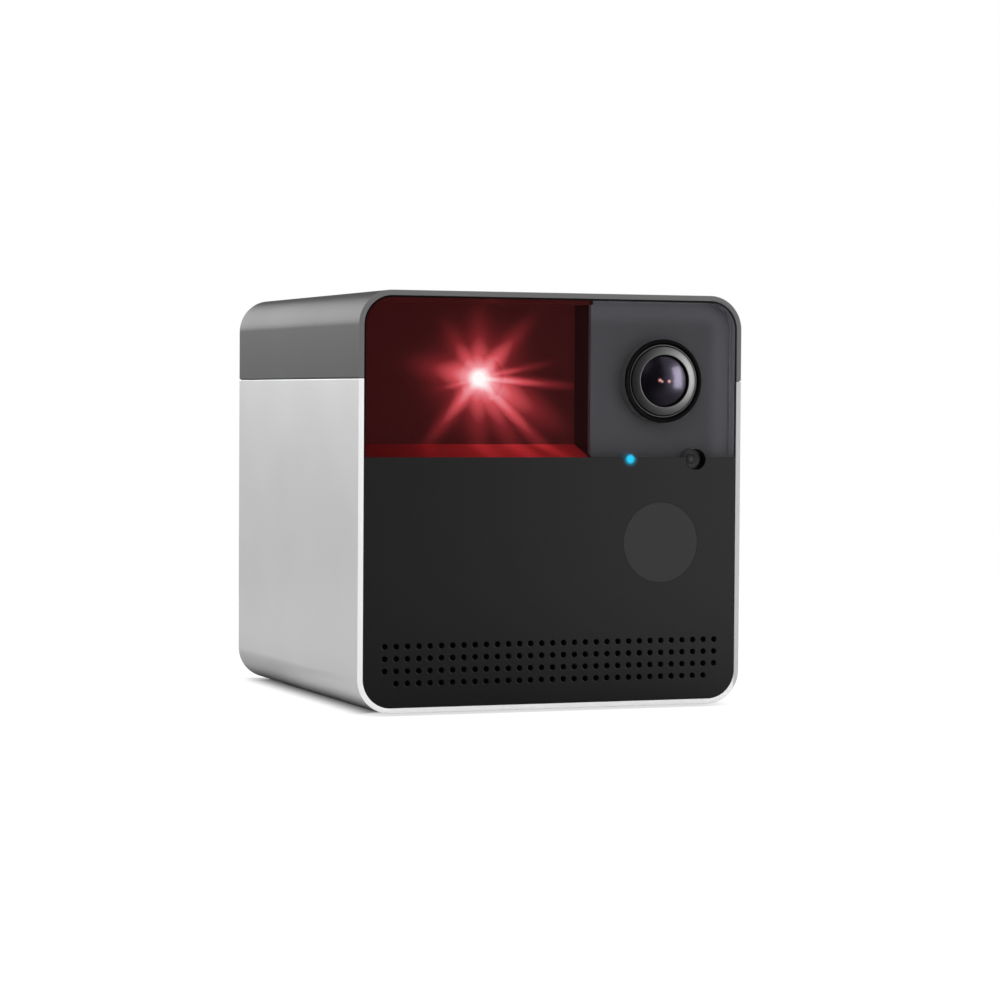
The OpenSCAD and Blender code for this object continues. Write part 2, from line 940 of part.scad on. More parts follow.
module speaker_frame() {
    cone_half_h = basket_half_h - 2 * basket_wall;
    cone_half_w = basket_half_w - 2 * basket_wall;
    plate_half_w = gasket_in_half_w + gasket_w;
    color("#2a2a2c")
        difference() {
            union() {
                grille_pill(plate_half_w, box_half_h, gasket_back, speaker_plate_back);
                grille_pill(basket_half_w, basket_half_h, gasket_back, basket_back);
            }
            grille_pill(cone_half_w, cone_half_h, gasket_back - cut_over, speaker_plate_back + cut_over);
            grille_pill(basket_half_w - basket_wall, basket_half_h - basket_wall,
                speaker_plate_back, basket_back - basket_wall);
            grille_pill(magnet_half_w - coil_gap, magnet_half_h - coil_gap,
                speaker_plate_back, basket_back + cut_over);
        }
}

module speaker_cone() {
    edge_half_w = basket_half_w - basket_wall;
    edge_half_h = basket_half_h - basket_wall;
    color("#151515") {
        grille_pill(edge_half_w, edge_half_h, speaker_plate_back, speaker_plate_back + cone_t);
        grille_pill(edge_half_w - cone_rim_w, edge_half_h - cone_rim_h,
            speaker_plate_back - cone_t, speaker_plate_back + cone_t);
    }
}

module speaker_magnet() {
    color("silver")
        grille_pill(magnet_half_w, magnet_half_h, basket_back, magnet_back);
}

module speaker_box() {
    color("#242426")
        difference() {
            grille_pill(box_half_w, box_half_h, speaker_plate_back, box_back);
            grille_pill(box_half_w - box_wall, box_half_h - box_wall,
                speaker_plate_back - cut_over, box_back - box_wall);
        }
}

// Laser chamber and its pan and tilt head

module laser_chamber() {
    outer_left = -body_w;
    color("#2a1214")
        difference() {
            slab(panel_back, chamber_back)
                intersection() {
                    body_outline(wall_t + panel_gap);
                    translate([outer_left, shelf_top])
                        square([chamber_right_x + chamber_wall - outer_left, body_h]);
                }
            chamber_space();
            block([chamber_right_x, body_w], [0, plate_back], [0, 2 * body_h]);
            rod(laser_x, laser_z, aperture_r, 0, chamber_back + cut_over);
            translate([laser_x, pivot_y, laser_z])
                sphere(ball_r + free_gap);
        }
}

// The air inside the chamber: its right wall is drafted and its floor ramps up to the back
module chamber_space() {
    intersection() {
        slab(0, chamber_depth)
            body_outline(wall_t + panel_gap + chamber_wall);
        translate([0, front_y, 0])
            linear_extrude(2 * body_h)
                polygon([[-body_w, 0], [chamber_right_x, 0], [chamber_right_x, plate_back],
                    [chamber_right_back_x, chamber_depth], [-body_w, chamber_depth]]);
        translate([-body_w, front_y, 0])
            rotate([90, 0, 90])
                linear_extrude(2 * body_w)
                    polygon([[0, split_z], [panel_back, split_z], [chamber_depth, split_z + chamber_ramp],
                        [chamber_depth, 2 * body_h], [0, 2 * body_h]]);
    }
}

// The angle between a tooth's middle and its flank, at a radius
function involute(angle) = tan(angle) * 180 / PI - angle;
function flank_angle(teeth, r) =
    let (pitch_r = teeth * gear_module / 2)
    let (base_r = pitch_r * cos(pressure_angle))
    let (half_tooth = 90 / teeth - backlash / 4 / pitch_r * 180 / PI)
    half_tooth + involute(pressure_angle) - involute(acos(min(1, base_r / r)));

// The radii at which a flank is drawn, from root to tip
function flank_radii(teeth) =
    let (pitch_r = teeth * gear_module / 2)
    let (base_r = pitch_r * cos(pressure_angle))
    let (root_r = pitch_r - dedendum)
    let (tip_r = pitch_r + addendum)
    root_r < base_r ? [root_r, base_r, pitch_r, tip_r] : [root_r, pitch_r, tip_r];

function polar(r, angle) = [r * cos(angle), r * sin(angle)];

// The outline of a run of teeth, with tooth 0 pointing along an angle
function tooth_points(teeth, first, last, angle) =
    let (radii = flank_radii(teeth))
    let (count = len(radii))
    [
        for (tooth = [first : last], step = [0 : 2 * count - 1])
            let (rising = step < count)
            let (r = rising ? radii[step] : radii[2 * count - 1 - step])
            polar(r, angle + tooth * 360 / teeth + (rising ? -1 : 1) * flank_angle(teeth, r))
    ];

module gear_outline(teeth, angle) {
    polygon(tooth_points(teeth, 0, teeth - 1, angle));
}

// A wedge of a larger gear that covers the swing to each side of an angle
module sector_outline(teeth, angle, swing_back, swing_on) {
    first = -ceil(swing_back * teeth / 360) - 1;
    last = ceil(swing_on * teeth / 360) + 1;
    polygon(concat([[0, 0]], tooth_points(teeth, first, last, angle)));
}

module laser_bracket() {
    left = laser_x - bracket_half_w;
    right = laser_x + bracket_half_w;
    front = chamber_back + free_gap;
    color("#3a3a3e")
        difference() {
            union() {
                block([left, right], [front, bracket_back], [bracket_bottom, bracket_top]);
                for (x = [left, right - bracket_leg], depth = [front, bracket_back - bracket_leg])
                    block([x, x + bracket_leg], [depth, depth + bracket_leg], [shelf_top, bracket_top]);
            }
            translate([laser_x, pivot_y, 0])
                cylinder(r = bush_r, h = body_h);
            translate([laser_x, pan_pinion_y, 0])
                cylinder(r = 2 * shaft_r, h = body_h);
        }
}

module pan_bush() {
    color("goldenrod")
        translate([laser_x, pivot_y, bracket_bottom])
            difference() {
                union() {
                    cylinder(r = bush_r, h = bracket_t + bush_flange_t);
                    translate([0, 0, bracket_t])
                        cylinder(r = bush_flange_r, h = bush_flange_t);
                }
                translate([0, 0, -cut_over])
                    cylinder(r = pan_shaft_r + running_gap, h = bracket_t + bush_flange_t + 2 * cut_over);
            }
}

// A box measured from the pivot across the body and to the back, with a height range of its own
module yoke_block(x, y, z) {
    translate([laser_x + x[0], pivot_y + y[0], z[0]])
        cube([x[1] - x[0], y[1] - y[0], z[1] - z[0]]);
}

module pan_yoke() {
    saddle_y = tilt_axis_y - pivot_y;
    color("#4a4a50")
        difference() {
            union() {
                yoke_block([-arm_outer, arm_outer], [-arm_front, saddle_y + saddle_half],
                    [yoke_bottom, yoke_top]);
                for (side = [arm_inner, -arm_outer])
                    yoke_block([side, side + arm_t], [-arm_front, arm_back],
                        [yoke_bottom, laser_z + arm_over]);
                yoke_block([saddle_left, saddle_right], [saddle_y - saddle_half, saddle_y + saddle_half],
                    [yoke_bottom, tilt_axis_z - motor_r / 3]);
                translate([laser_x, pivot_y, shaft_end])
                    cylinder(r = pan_shaft_r, h = yoke_top - shaft_end);
            }
            across(-body_w, body_w)
                circle(pin_r + running_gap);
            across(-body_w, body_w)
                translate([tilt_axis_y - pivot_y, tilt_axis_z - laser_z])
                    circle(motor_r);
        }
}

module pan_sector() {
    color("ivory")
        translate([laser_x, pivot_y, sector_bottom])
            linear_extrude(sector_t)
                difference() {
                    union() {
                        sector_outline(pan_teeth, 90, pan_limit, pan_limit);
                        circle(bush_flange_r);
                    }
                    circle(pan_shaft_r);
                }
}

module pan_pinion() {
    color("white")
        translate([laser_x, pan_pinion_y, 0]) {
            translate([0, 0, sector_bottom])
                linear_extrude(sector_t - free_gap)
                    gear_outline(pinion_teeth, 270 + 180 / pinion_teeth);
            translate([0, 0, bracket_bottom - pan_motor_h / 2])
                cylinder(r = shaft_r, h = sector_bottom + sector_t / 2 - bracket_bottom + pan_motor_h / 2);
        }
}

module pan_motor() {
    color("silver")
        translate([laser_x, pan_pinion_y, bracket_bottom - pan_motor_h])
            difference() {
                cylinder(r = motor_r, h = pan_motor_h);
                translate([0, 0, pan_motor_h / 2 - seat_gap])
                    cylinder(r = shaft_r + running_gap, h = pan_motor_h);
            }
}

module laser_ball() {
    color("#303034")
        difference() {
            translate([laser_x, pivot_y, laser_z])
                sphere(ball_r);
            rod(laser_x, laser_z, laser_r, 0, body_d);
            across(pin_inner, body_w)
                circle(pin_r);
            across(-body_w, -pin_inner)
                circle(pin_r);
        }
}

module laser_barrel() {
    nose = pivot_depth - sqrt(ball_r * ball_r - laser_r * laser_r);
    color("goldenrod")
        difference() {
            rod(laser_x, laser_z, laser_r, nose, pivot_depth + laser_back);
            rod(laser_x, laser_z, laser_lens_r, nose - cut_over, nose + laser_lens_t + laser_lens_set);
            rod(laser_x, laser_z, laser_lens_r / 2, nose, pivot_depth);
        }
}

module laser_lens() {
    nose = pivot_depth - sqrt(ball_r * ball_r - laser_r * laser_r);
    color("crimson")
        intersection() {
            rod(laser_x, laser_z, laser_lens_r, nose + laser_lens_set, nose + laser_lens_set + laser_lens_t);
            translate([laser_x, front_y + nose + laser_lens_set + 2 * laser_lens_r, laser_z])
                sphere(2 * laser_lens_r);
        }
}

module tilt_pins() {
    color("silver")
        for (from = [pin_inner, -arm_outer])
            across(from, from + arm_outer - pin_inner)
                circle(pin_r);
}

module tilt_sector() {
    color("ivory")
        difference() {
            across(tilt_plate_x, tilt_plate_x + tilt_plate_t)
                sector_outline(tilt_teeth, tilt_mesh_angle, tilt_down_limit, tilt_up_limit);
            translate([laser_x, pivot_y, laser_z])
                sphere(ball_r);
        }
}

module tilt_pinion() {
    middle = [tilt_axis_y - pivot_y, tilt_axis_z - laser_z];
    color("white") {
        across(tilt_plate_x - seat_gap, tilt_plate_x + tilt_plate_t + seat_gap)
            translate(middle)
                gear_outline(pinion_teeth, tilt_mesh_angle + 180 + 180 / pinion_teeth);
        across(tilt_motor_left / 2, tilt_plate_x)
            translate(middle)
                circle(shaft_r);
    }
}

module tilt_motor() {
    middle = [tilt_axis_y - pivot_y, tilt_axis_z - laser_z];
    color("silver")
        difference() {
            across(tilt_motor_left, tilt_motor_right)
                translate(middle)
                    circle(motor_r);
            across(tilt_motor_left / 2 - seat_gap, body_w)
                translate(middle)
                    circle(shaft_r + running_gap);
        }
}

// Main electronics and the rear controls

module main_board() {
    color("seagreen")
        slab(main_depth, main_back)
            difference() {
                translate([-main_half_w, main_bottom])
                    square([2 * main_half_w, main_top - main_bottom]);
                for (x = [-main_screw_x, main_screw_x], z = main_screw_z)
                    translate([x, z])
                        circle(screw_r);
            }
}

module processor() {
    color("black")
        block([-processor_size / 2, processor_size / 2], [main_depth - processor_t, main_depth],
            [processor_z - processor_size / 2, processor_z + processor_size / 2]);
}

module heat_sink() {
    sink_back = main_depth - processor_t;
    fin_pitch = (sink_size - sink_fin_t) / (sink_fins - 1);
    color("darkgray") {
        block([-sink_size / 2, sink_size / 2], [sink_back - sink_base, sink_back],
            [processor_z - sink_size / 2, processor_z + sink_size / 2]);
        for (fin = [0 : sink_fins - 1])
            block([fin * fin_pitch - sink_size / 2, fin * fin_pitch - sink_size / 2 + sink_fin_t],
                [sink_back - sink_base - sink_fin_h, sink_back],
                [processor_z - sink_size / 2, processor_z + sink_size / 2]);
    }
}

module wifi_antenna() {
    color("darkorange")
        block([-antenna_w / 2, antenna_w / 2], [antenna_depth, antenna_depth + antenna_d],
            [inner_top - antenna_t, inner_top]);
}

module power_socket() {
    color("silver") {
        difference() {
            slab(main_back, socket_mouth)
                translate([0, socket_z])
                    pill(socket_w / 2, socket_h / 2);
            slab(main_back + socket_floor_t, socket_mouth + cut_over)
                translate([0, socket_z])
                    pill(socket_w / 2 - socket_wall, socket_h / 2 - socket_wall);
        }
        block([-tongue_w / 2, tongue_w / 2], [main_back + socket_floor_t / 2, socket_mouth - socket_floor_t],
            [socket_z - tongue_t / 2, socket_z + tongue_t / 2]);
    }
}

module reset_switch() {
    color("#303030") {
        block([reset_x - switch_size / 2, reset_x + switch_size / 2], [main_back, main_back + switch_t],
            [socket_z - switch_size / 2, socket_z + switch_size / 2]);
        rod(reset_x, socket_z, reset_r, main_back, main_back + switch_t + switch_top_t);
    }
}

module reset_button() {
    color("dimgray") {
        rod(reset_x, socket_z, reset_r, button_front, button_out);
        rod(reset_x, socket_z, button_flange_r, button_flange_front, button_flange_front + button_flange_t);
    }
}

module board_screws() {
    color("silver")
        for (x = [-main_screw_x, main_screw_x], z = main_screw_z) {
            rod(x, z, screw_r, main_depth - screw_head_t, rear_ring_front + board_screw_bite);
            rod(x, z, 2 * screw_r, main_depth - screw_head_t, main_depth);
        }
}

module camera_ribbon() {
    x = [lens_x - ribbon_w / 2, lens_x + ribbon_w / 2];
    color("orange") {
        block(x, [holder_back + board_t, ribbon_drop_depth], [ribbon_top_z, ribbon_top_z + ribbon_t]);
        block(x, [ribbon_drop_depth - ribbon_t, ribbon_drop_depth], [ribbon_low_z, ribbon_top_z + ribbon_t]);
        block(x, [ribbon_drop_depth - ribbon_t, main_depth], [ribbon_low_z, ribbon_low_z + ribbon_t]);
    }
}

side_shell();
top_cap();
front_panel();
front_window();
rear_cover();
chassis();
foot_pad();
tripod_insert();
base_screws();
camera_plate();
lens_trim_ring();
lens_barrel();
lens_glass();
lens_holder();
filter_slider();
filter_glasses();
filter_coil();
image_sensor();
camera_board();
camera_screws();
night_window();
night_board();
night_leds();
status_light_pipe();
status_led();
light_sensor();
microphone();
front_board();
speaker_gasket();
speaker_frame();
speaker_cone();
speaker_magnet();
speaker_box();
laser_chamber();
laser_bracket();
pan_bush();
pan_yoke();
pan_sector();
pan_pinion();
pan_motor();
laser_ball();
laser_barrel();
laser_lens();
tilt_pins();
tilt_sector();
tilt_pinion();
tilt_motor();
main_board();
processor();
heat_sink();
wifi_antenna();
power_socket();
reset_switch();
reset_button();
board_screws();
camera_ribbon();
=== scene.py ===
# %% [markdown]
# A cube-shaped pet camera stands on a white studio table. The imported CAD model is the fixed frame:
# every piece keeps the place, the size and the body that it has there. This script gives each piece
# its finish, models the pieces whose edges and glass need more than the plain solids have, and sets
# up the camera and the light.

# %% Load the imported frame
import json
import math

import bmesh
import bpy
from mathutils import Matrix, Vector


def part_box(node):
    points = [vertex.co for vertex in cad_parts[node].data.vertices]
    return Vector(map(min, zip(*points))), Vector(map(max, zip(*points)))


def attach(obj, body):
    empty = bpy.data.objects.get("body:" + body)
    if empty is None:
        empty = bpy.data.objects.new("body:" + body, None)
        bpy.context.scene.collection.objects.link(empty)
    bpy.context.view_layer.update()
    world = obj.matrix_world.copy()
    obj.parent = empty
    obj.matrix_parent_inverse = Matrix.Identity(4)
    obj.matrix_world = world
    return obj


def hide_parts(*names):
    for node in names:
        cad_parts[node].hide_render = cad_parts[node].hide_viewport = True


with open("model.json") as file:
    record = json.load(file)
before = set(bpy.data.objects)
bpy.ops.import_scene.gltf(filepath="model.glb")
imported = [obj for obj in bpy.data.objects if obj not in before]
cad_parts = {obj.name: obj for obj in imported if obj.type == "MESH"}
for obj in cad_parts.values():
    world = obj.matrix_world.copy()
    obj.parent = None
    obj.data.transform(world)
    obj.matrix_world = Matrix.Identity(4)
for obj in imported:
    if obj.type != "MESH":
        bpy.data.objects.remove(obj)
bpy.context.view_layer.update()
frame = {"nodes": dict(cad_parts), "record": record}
nodes = frame["nodes"]
MM = 0.001

# %% [markdown]
# The picture was taken from the left of the front and from a little above the middle, with a long
# lens. The eye point, the turn, the dip and the roll were worked out from the edges of the housing.
# A camera could be aimed with a Track To constraint, but a matrix made from the three axes also
# holds the small roll.

# %% Camera
SENSOR_WIDTH = 36
IMAGE_WIDTH = 1000
FOCAL_PIXELS = 3060.007
EYE = Vector((-225.042, -600.022, 61.478)) * MM
YAW = math.radians(20.91821)
DIP = math.radians(1.88296)
ROLL = math.radians(0.37789)
NEAR_CLIP = 10 * MM

look = Vector((math.sin(YAW) * math.cos(DIP), math.cos(YAW) * math.cos(DIP), -math.sin(DIP)))
level_right = Vector((math.cos(YAW), -math.sin(YAW), 0))
level_up = level_right.cross(look)
right = math.cos(ROLL) * level_right + math.sin(ROLL) * level_up
up = math.cos(ROLL) * level_up - math.sin(ROLL) * level_right

camera_data = bpy.data.cameras.new("photo_camera")
camera_data.sensor_width = SENSOR_WIDTH
camera_data.lens = FOCAL_PIXELS * SENSOR_WIDTH / IMAGE_WIDTH
camera_data.clip_start = NEAR_CLIP
camera = bpy.data.objects.new("photo_camera", camera_data)
camera.matrix_world = Matrix.Translation(EYE) @ Matrix((right, up, -look)).transposed().to_4x4()
bpy.context.scene.collection.objects.link(camera)
bpy.context.scene.camera = camera
bpy.context.scene.view_settings.view_transform = "Standard"
print("lens:", round(camera_data.lens, 2), "mm")

# %% [markdown]
# Finishes are sums and products of patterns. Wiring each Math node by hand hides the formula, so
# one small class wraps a socket: plain Python arithmetic on it adds the Math nodes. A second class
# holds a node tree and makes any other node from its type, its settings and its inputs.

# %% Sockets that can be added and multiplied
class Wire:
    """A shader socket that stands for a number in Python arithmetic."""

    def __init__(self, tree, socket):
        self.tree = tree
        self.socket = socket

    def math(self, operation, *inputs):
        return self.tree.node("ShaderNodeMath", {"operation": operation}, dict(enumerate(inputs)))

    def __add__(self, other):
        return self.math("ADD", self, other)

    def __sub__(self, other):
        return self.math("SUBTRACT", self, other)

    def __rsub__(self, other):
        return self.math("SUBTRACT", other, self)

    def __mul__(self, other):
        return self.math("MULTIPLY", self, other)

    def __truediv__(self, other):
        return self.math("DIVIDE", self, other)

    def __pow__(self, other):
        return self.math("POWER", self, other)

    def __abs__(self):
        return self.math("ABSOLUTE", self)

    __radd__ = __add__
    __rmul__ = __mul__

    def at_least(self, other):
        return self.math("MAXIMUM", self, other)

    def at_most(self, other):
        return self.math("MINIMUM", self, other)

    def fold(self, length):
        """Runs up to length and back to 0, again and again."""
        return self.math("PINGPONG", self, length)

    def bell(self):
        """1 at zero, falling smoothly to both sides."""
        return self.math("EXPONENT", 0 - self * self)

    def step(self, low, high):
        """0 up to low, 1 from high on, and smooth in between."""
        return self.tree.node("ShaderNodeMapRange", {"interpolation_type": "SMOOTHSTEP"},
                              {0: self, 1: low, 2: high})


class NodeTree:
    """A shader's node tree, emptied and ready to be filled."""

    def __init__(self, owner):
        owner.use_nodes = True
        self.nodes = owner.node_tree.nodes
        self.links = owner.node_tree.links
        self.nodes.clear()

    def node(self, kind, settings=None, inputs=None, output=0):
        made = self.nodes.new(kind)
        for name, value in (settings or {}).items():
            setattr(made, name, value)
        for name, value in (inputs or {}).items():
            if isinstance(value, Wire):
                self.links.new(value.socket, made.inputs[name])
            else:
                made.inputs[name].default_value = value
        return Wire(self, made.outputs[output] if len(made.outputs) else None)

    def split(self, vector):
        parts = self.node("ShaderNodeSeparateXYZ", inputs={0: vector}).socket.node.outputs
        return [Wire(self, part) for part in parts]


class Finish(NodeTree):
    """One material that ends in a Principled shader."""

    def __init__(self, name):
        self.material = bpy.data.materials.new(name)
        super().__init__(self.material)

    def place(self):
        """The point on the object, in metres."""
        return self.node("ShaderNodeTexCoord", output="Object")

    def noise(self, size):
        """A random pattern from 0 to 1, with spots of about this size in metres."""
        return self.node("ShaderNodeTexNoise", inputs={"Vector": self.place(), "Scale": 1 / size})

    def mix(self, share, first, second, blend="MIX"):
        return self.node("ShaderNodeMix", {"data_type": "RGBA", "blend_type": blend},
                         {0: share, 6: first, 7: second}, output=2)

    def bump(self, height, depth):
        return self.node("ShaderNodeBump", inputs={"Height": height, "Distance": depth})

    def principled(self, **inputs):
        """Socket names in small letters with underscores, such as base_color."""
        shader = self.node("ShaderNodeBsdfPrincipled")
        sockets = {
            socket.name.lower().replace(" ", "_"): socket for socket in shader.socket.node.inputs
        }
        for name, value in inputs.items():
            if isinstance(value, Wire):
                self.links.new(value.socket, sockets[name])
            else:
                sockets[name].default_value = value
        self.node("ShaderNodeOutputMaterial", inputs={"Surface": shader})
        return self.material


def linear(level):
    """A screen level from 0 to 255 as linear light, by the usual curve of screens."""
    share = level / 255
    return share / 12.92 if share <= 0.04045 else ((share + 0.055) / 1.055) ** 2.4


def rgb(red, green, blue):
    return (linear(red), linear(green), linear(blue), 1)


def grey(level):
    return rgb(level, level, level)


def darker(colour, share):
    return tuple(share * channel for channel in colour[:3]) + (1,)


print("grey 128 is", round(linear(128), 3), "in linear light")

# %% [markdown]
# The table is a white disc that fades into the white around it, so no horizon shows behind the
# camera. A large plane would end in a grey line where its light runs out. Alpha does the fading.
# What the camera sees is partly a matt grey that takes the lamps' shadows, and partly the table's
# own light, which is dim under the body: a painted shadow, dark where the body stands and pale
# beyond. Reflections see grey cards on the table, a dark one in front and paler ones at the sides,
# as on a set where the photographer keeps white out of the metal and the gloss. Under the body and
# behind it the cards are darker: a painted shadow that only reflections show.

# %% Table
FLOOR_RADIUS = 1.5
FLOOR_SIDES = 96
FLOOR_GAP = 0.03 * MM
FADE = (0.16, 0.42)
PAPER_CLOUD = 0.3
BLACK = (0, 0, 0, 1)
TABLE_GREY = grey(170)
TABLE_LIGHT = grey(220)
PAINTED_SHADOW_LIGHT = grey(70)

# Each pair is the start and the end of a soft edge on the table. The painted shadow under the body
# lies a little behind the body's middle.
PAINTED_SHADOW_Y = 6 * MM
PAINTED_SHADOW_EDGE_X = (32.5 * MM, 40.5 * MM)
PAINTED_SHADOW_EDGE_Y = (36 * MM, 42 * MM)
FRONT_CARD_END = (-60 * MM, -45 * MM)
FRONT_CARD_FADE = (0, 90 * MM)
SIDE_CARD_START = (35 * MM, 43 * MM)
NEAR_CARD_END = (45 * MM, 75 * MM)
NEAR_CARD_FADE = (-10 * MM, 50 * MM)


def mesh_object(name, mesh):
    """A bmesh becomes an object at the origin."""
    data = bpy.data.meshes.new(name)
    mesh.to_mesh(data)
    mesh.free()
    made = bpy.data.objects.new(name, data)
    bpy.context.scene.collection.objects.link(made)
    return made


floor_mesh = bmesh.new()
bmesh.ops.create_circle(floor_mesh, cap_ends=True, segments=FLOOR_SIDES, radius=FLOOR_RADIUS,
                        matrix=Matrix.Translation((0, 0, -FLOOR_GAP)))
floor = mesh_object("white_table", floor_mesh)

table = Finish("white_table")
floor_x, floor_y, _ = table.split(table.place())
aside = abs(floor_x)
floor_distance = (floor_x * floor_x + floor_y * floor_y) ** 0.5
in_mirror = table.node("ShaderNodeLightPath", output="Is Glossy Ray")
in_view = table.node("ShaderNodeLightPath", output="Is Camera Ray")
paper = table.mix(table.noise(PAPER_CLOUD), grey(252), grey(254))
# The table's own light is dim under the body: a painted shadow.
off_painted_shadow = aside.step(*PAINTED_SHADOW_EDGE_X).at_least(abs(floor_y - PAINTED_SHADOW_Y).step(*PAINTED_SHADOW_EDGE_Y))
own_light = table.mix(off_painted_shadow, PAINTED_SHADOW_LIGHT, TABLE_LIGHT)
# Behind the body the near card is darker, and under it the side card is dark: a painted shadow in
# reflections.
front_card = table.mix(floor_x.step(*FRONT_CARD_FADE), grey(92), grey(180))
near_card = table.mix(floor_y.step(*NEAR_CARD_FADE), grey(205), grey(165))
far_card = table.mix(aside.step(*NEAR_CARD_END), near_card, grey(190))
side_card = table.mix(aside.step(*SIDE_CARD_START), grey(85), far_card)
card = table.mix(floor_y.step(*FRONT_CARD_END), front_card, side_card)
floor.data.materials.append(table.principled(
    base_color=table.mix(in_view, table.mix(in_mirror, paper, card), TABLE_GREY),
    roughness=0.9,
    specular_ior_level=0.0,
    alpha=1 - floor_distance.step(*FADE),
    emission_color=table.mix(in_view, BLACK, own_light),
    emission_strength=1.0,
))
print("table fades from", FADE[0], "to", FADE[1], "m")

# %% [markdown]
# The world is a white studio. The camera sees plain white, and matt surfaces get an even light.
# Reflections see a room with dark cards round the photographer in front, a white wall on the right
# that grows dim towards the back, and a grey wall on the left: this shapes the dark gloss, the
# glass and the metal. The world isn't sampled as a lamp, because a lamp sample can't tell a
# mirrored ray from a matt one.

# %% World
MATT_LIGHT = 0.8
CARD = 0.1
WHITE_WALL = 1.06
GREY_WALL = 0.5
BACK_WALL = 0.25

# Bearings run from the front, to the right as positive angles and to the left as negative ones.
WHITE_FROM = (math.radians(19), math.radians(26))
BACK_FROM = (math.radians(140), math.radians(152))
GREY_UP_TO = (math.radians(-110), math.radians(-60))

world = bpy.data.worlds.new("studio")
bpy.context.scene.world = world
world.cycles.sampling_method = "NONE"
studio = NodeTree(world)
east, north, _ = studio.split(studio.node("ShaderNodeTexCoord", output="Generated"))
bearing = east.math("ARCTAN2", east, 0 - north)
on_right = bearing.step(*WHITE_FROM)
on_left = 1 - bearing.step(*GREY_UP_TO)
behind = bearing.step(*BACK_FROM)
front_and_right = CARD + (WHITE_WALL - CARD) * on_right + (BACK_WALL - WHITE_WALL) * behind
room = front_and_right + (GREY_WALL - CARD) * on_left
seen = studio.node("ShaderNodeLightPath", output="Is Camera Ray")
mirrored = studio.node("ShaderNodeLightPath", output="Is Glossy Ray")
through = studio.node("ShaderNodeLightPath", output="Is Transmission Ray")
gloss = mirrored.at_least(through)
unseen = (1 - gloss) * MATT_LIGHT + gloss * room
sky = studio.node("ShaderNodeBackground",
                  inputs={"Color": (1, 1, 1, 1), "Strength": (1 - seen) * unseen + seen})
studio.node("ShaderNodeOutputWorld", inputs={"Surface": sky})
print("world: matt", MATT_LIGHT, "room", CARD, GREY_WALL, BACK_WALL, WHITE_WALL)

# %% [markdown]
# Soft boxes model the form. A broad strip stands behind on the left, not far above the table: the
# metal side and the round of the cap mirror it, so the side is brightest below the seam. The key
# light stands in front on the left, above, where the housing's edge throws no shadow behind the
# window, and the top light keeps the table white.

# %% Soft boxes
def soft_box(name, place, aim, size, power, mirrored=True):
    """A lamp that the camera doesn't see. Lengths are in metres, and the power is in watts."""
    lamp = bpy.data.lights.new(name, "AREA")
    lamp.shape = "RECTANGLE"
    lamp.size, lamp.size_y = size
    lamp.energy = power
    made = bpy.data.objects.new(name, lamp)
    made.location = place
    made.rotation_euler = (Vector(aim) - Vector(place)).to_track_quat("-Z", "Y").to_euler()
    made.visible_camera = False
    made.visible_glossy = mirrored
    bpy.context.scene.collection.objects.link(made)
    return made


def only_on(lamp, pieces):
    """The lamp lights these pieces alone."""
    receivers = bpy.data.collections.new(lamp.name + "_receivers")
    for piece in pieces:
        receivers.objects.link(piece)
    lamp.light_linking.receiver_collection = receivers


soft_box("rear_strip", place=(-0.47, 1.1, 0.34), aim=(0, 0, 0.07), size=(1.2, 0.4), power=2.65)
soft_box("key", place=(-0.4, -0.9, 0.8), aim=(0, 0, 0.04), size=(0.6, 0.6), power=3.0, mirrored=False)
soft_box("top", place=(-0.05, -0.1, 1.1), aim=(0, 0, 0), size=(0.9, 0.9), power=3.5, mirrored=False)
print("lamps:", [lamp.name for lamp in bpy.data.lights])

# %% [markdown]
# The metal shell is a U bent from one strip, and a plastic cap closes it at the top. Both follow
# one rounded outline. A boolean of two boxes would do, but a square that is rounded, inset and
# extruded keeps clean rows of faces, so the rims can be given a fine round edge that catches the
# light.

# %% Outline of the housing
WALL = 1.05 * MM
CORNER = 6.8 * MM
SEAM_GAP = 0.15 * MM
EDGE_ROUND = 0.2 * MM
NEAR = 0.02 * MM

shell_low, shell_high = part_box("side_shell")
cap_low, cap_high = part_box("top_cap")
FRONT = shell_low.y
BACK = shell_high.y
SEAM = shell_high.z
half_width = shell_high.x
half_height = (cap_high.z - shell_low.z) / 2
middle_z = (cap_high.z + shell_low.z) / 2


def outline_distance(point):
    """How far a point lies outside the housing's outline, seen from the front."""
    across = abs(point.x) - half_width + CORNER
    along = abs(point.z - middle_z) - half_height + CORNER
    corner = Vector((max(across, 0), max(along, 0))).length
    return corner + min(max(across, along), 0) - CORNER


print("housing:", round(2 * half_width / MM, 2), "x", round(2 * half_height / MM, 2), "mm")

# %% [markdown]
# One helper makes the tube and keeps the part on one side of the seam. The cut ends are filled, and
# the outer edges of the rims and of the seam are rounded together, so that they meet in clean
# corners. The inner edges get half that round. A Bevel modifier would round every sharp edge alike,
# so the edges are picked by where they lie.

# %% Rounded tube
CORNER_STEPS = 20
CREASE = math.radians(38)


def whole(mesh):
    return mesh.verts[:] + mesh.edges[:] + mesh.faces[:]


def round_edges(mesh, edges, radius, steps):
    bmesh.ops.bevel(mesh, geom=list(edges), offset=radius, affect="EDGES", segments=steps,
                    profile=0.5, material=-1)


def edges_at(mesh, height, distance):
    """Edges of the rims and of the cut at this height that lie this far outside the outline."""
    def fits(vert):
        on_rim = min(vert.co.y - FRONT, BACK - vert.co.y) < NEAR
        on_cut = abs(vert.co.z - height) < NEAR
        return abs(outline_distance(vert.co) - distance) < NEAR and (on_rim or on_cut)

    def along_y(edge):
        return abs(edge.verts[0].co.y - edge.verts[1].co.y) > NEAR

    return [
        edge for edge in mesh.edges
        if all(fits(vert) for vert in edge.verts)
        and (not along_y(edge) or all(abs(vert.co.z - height) < NEAR for vert in edge.verts))
    ]


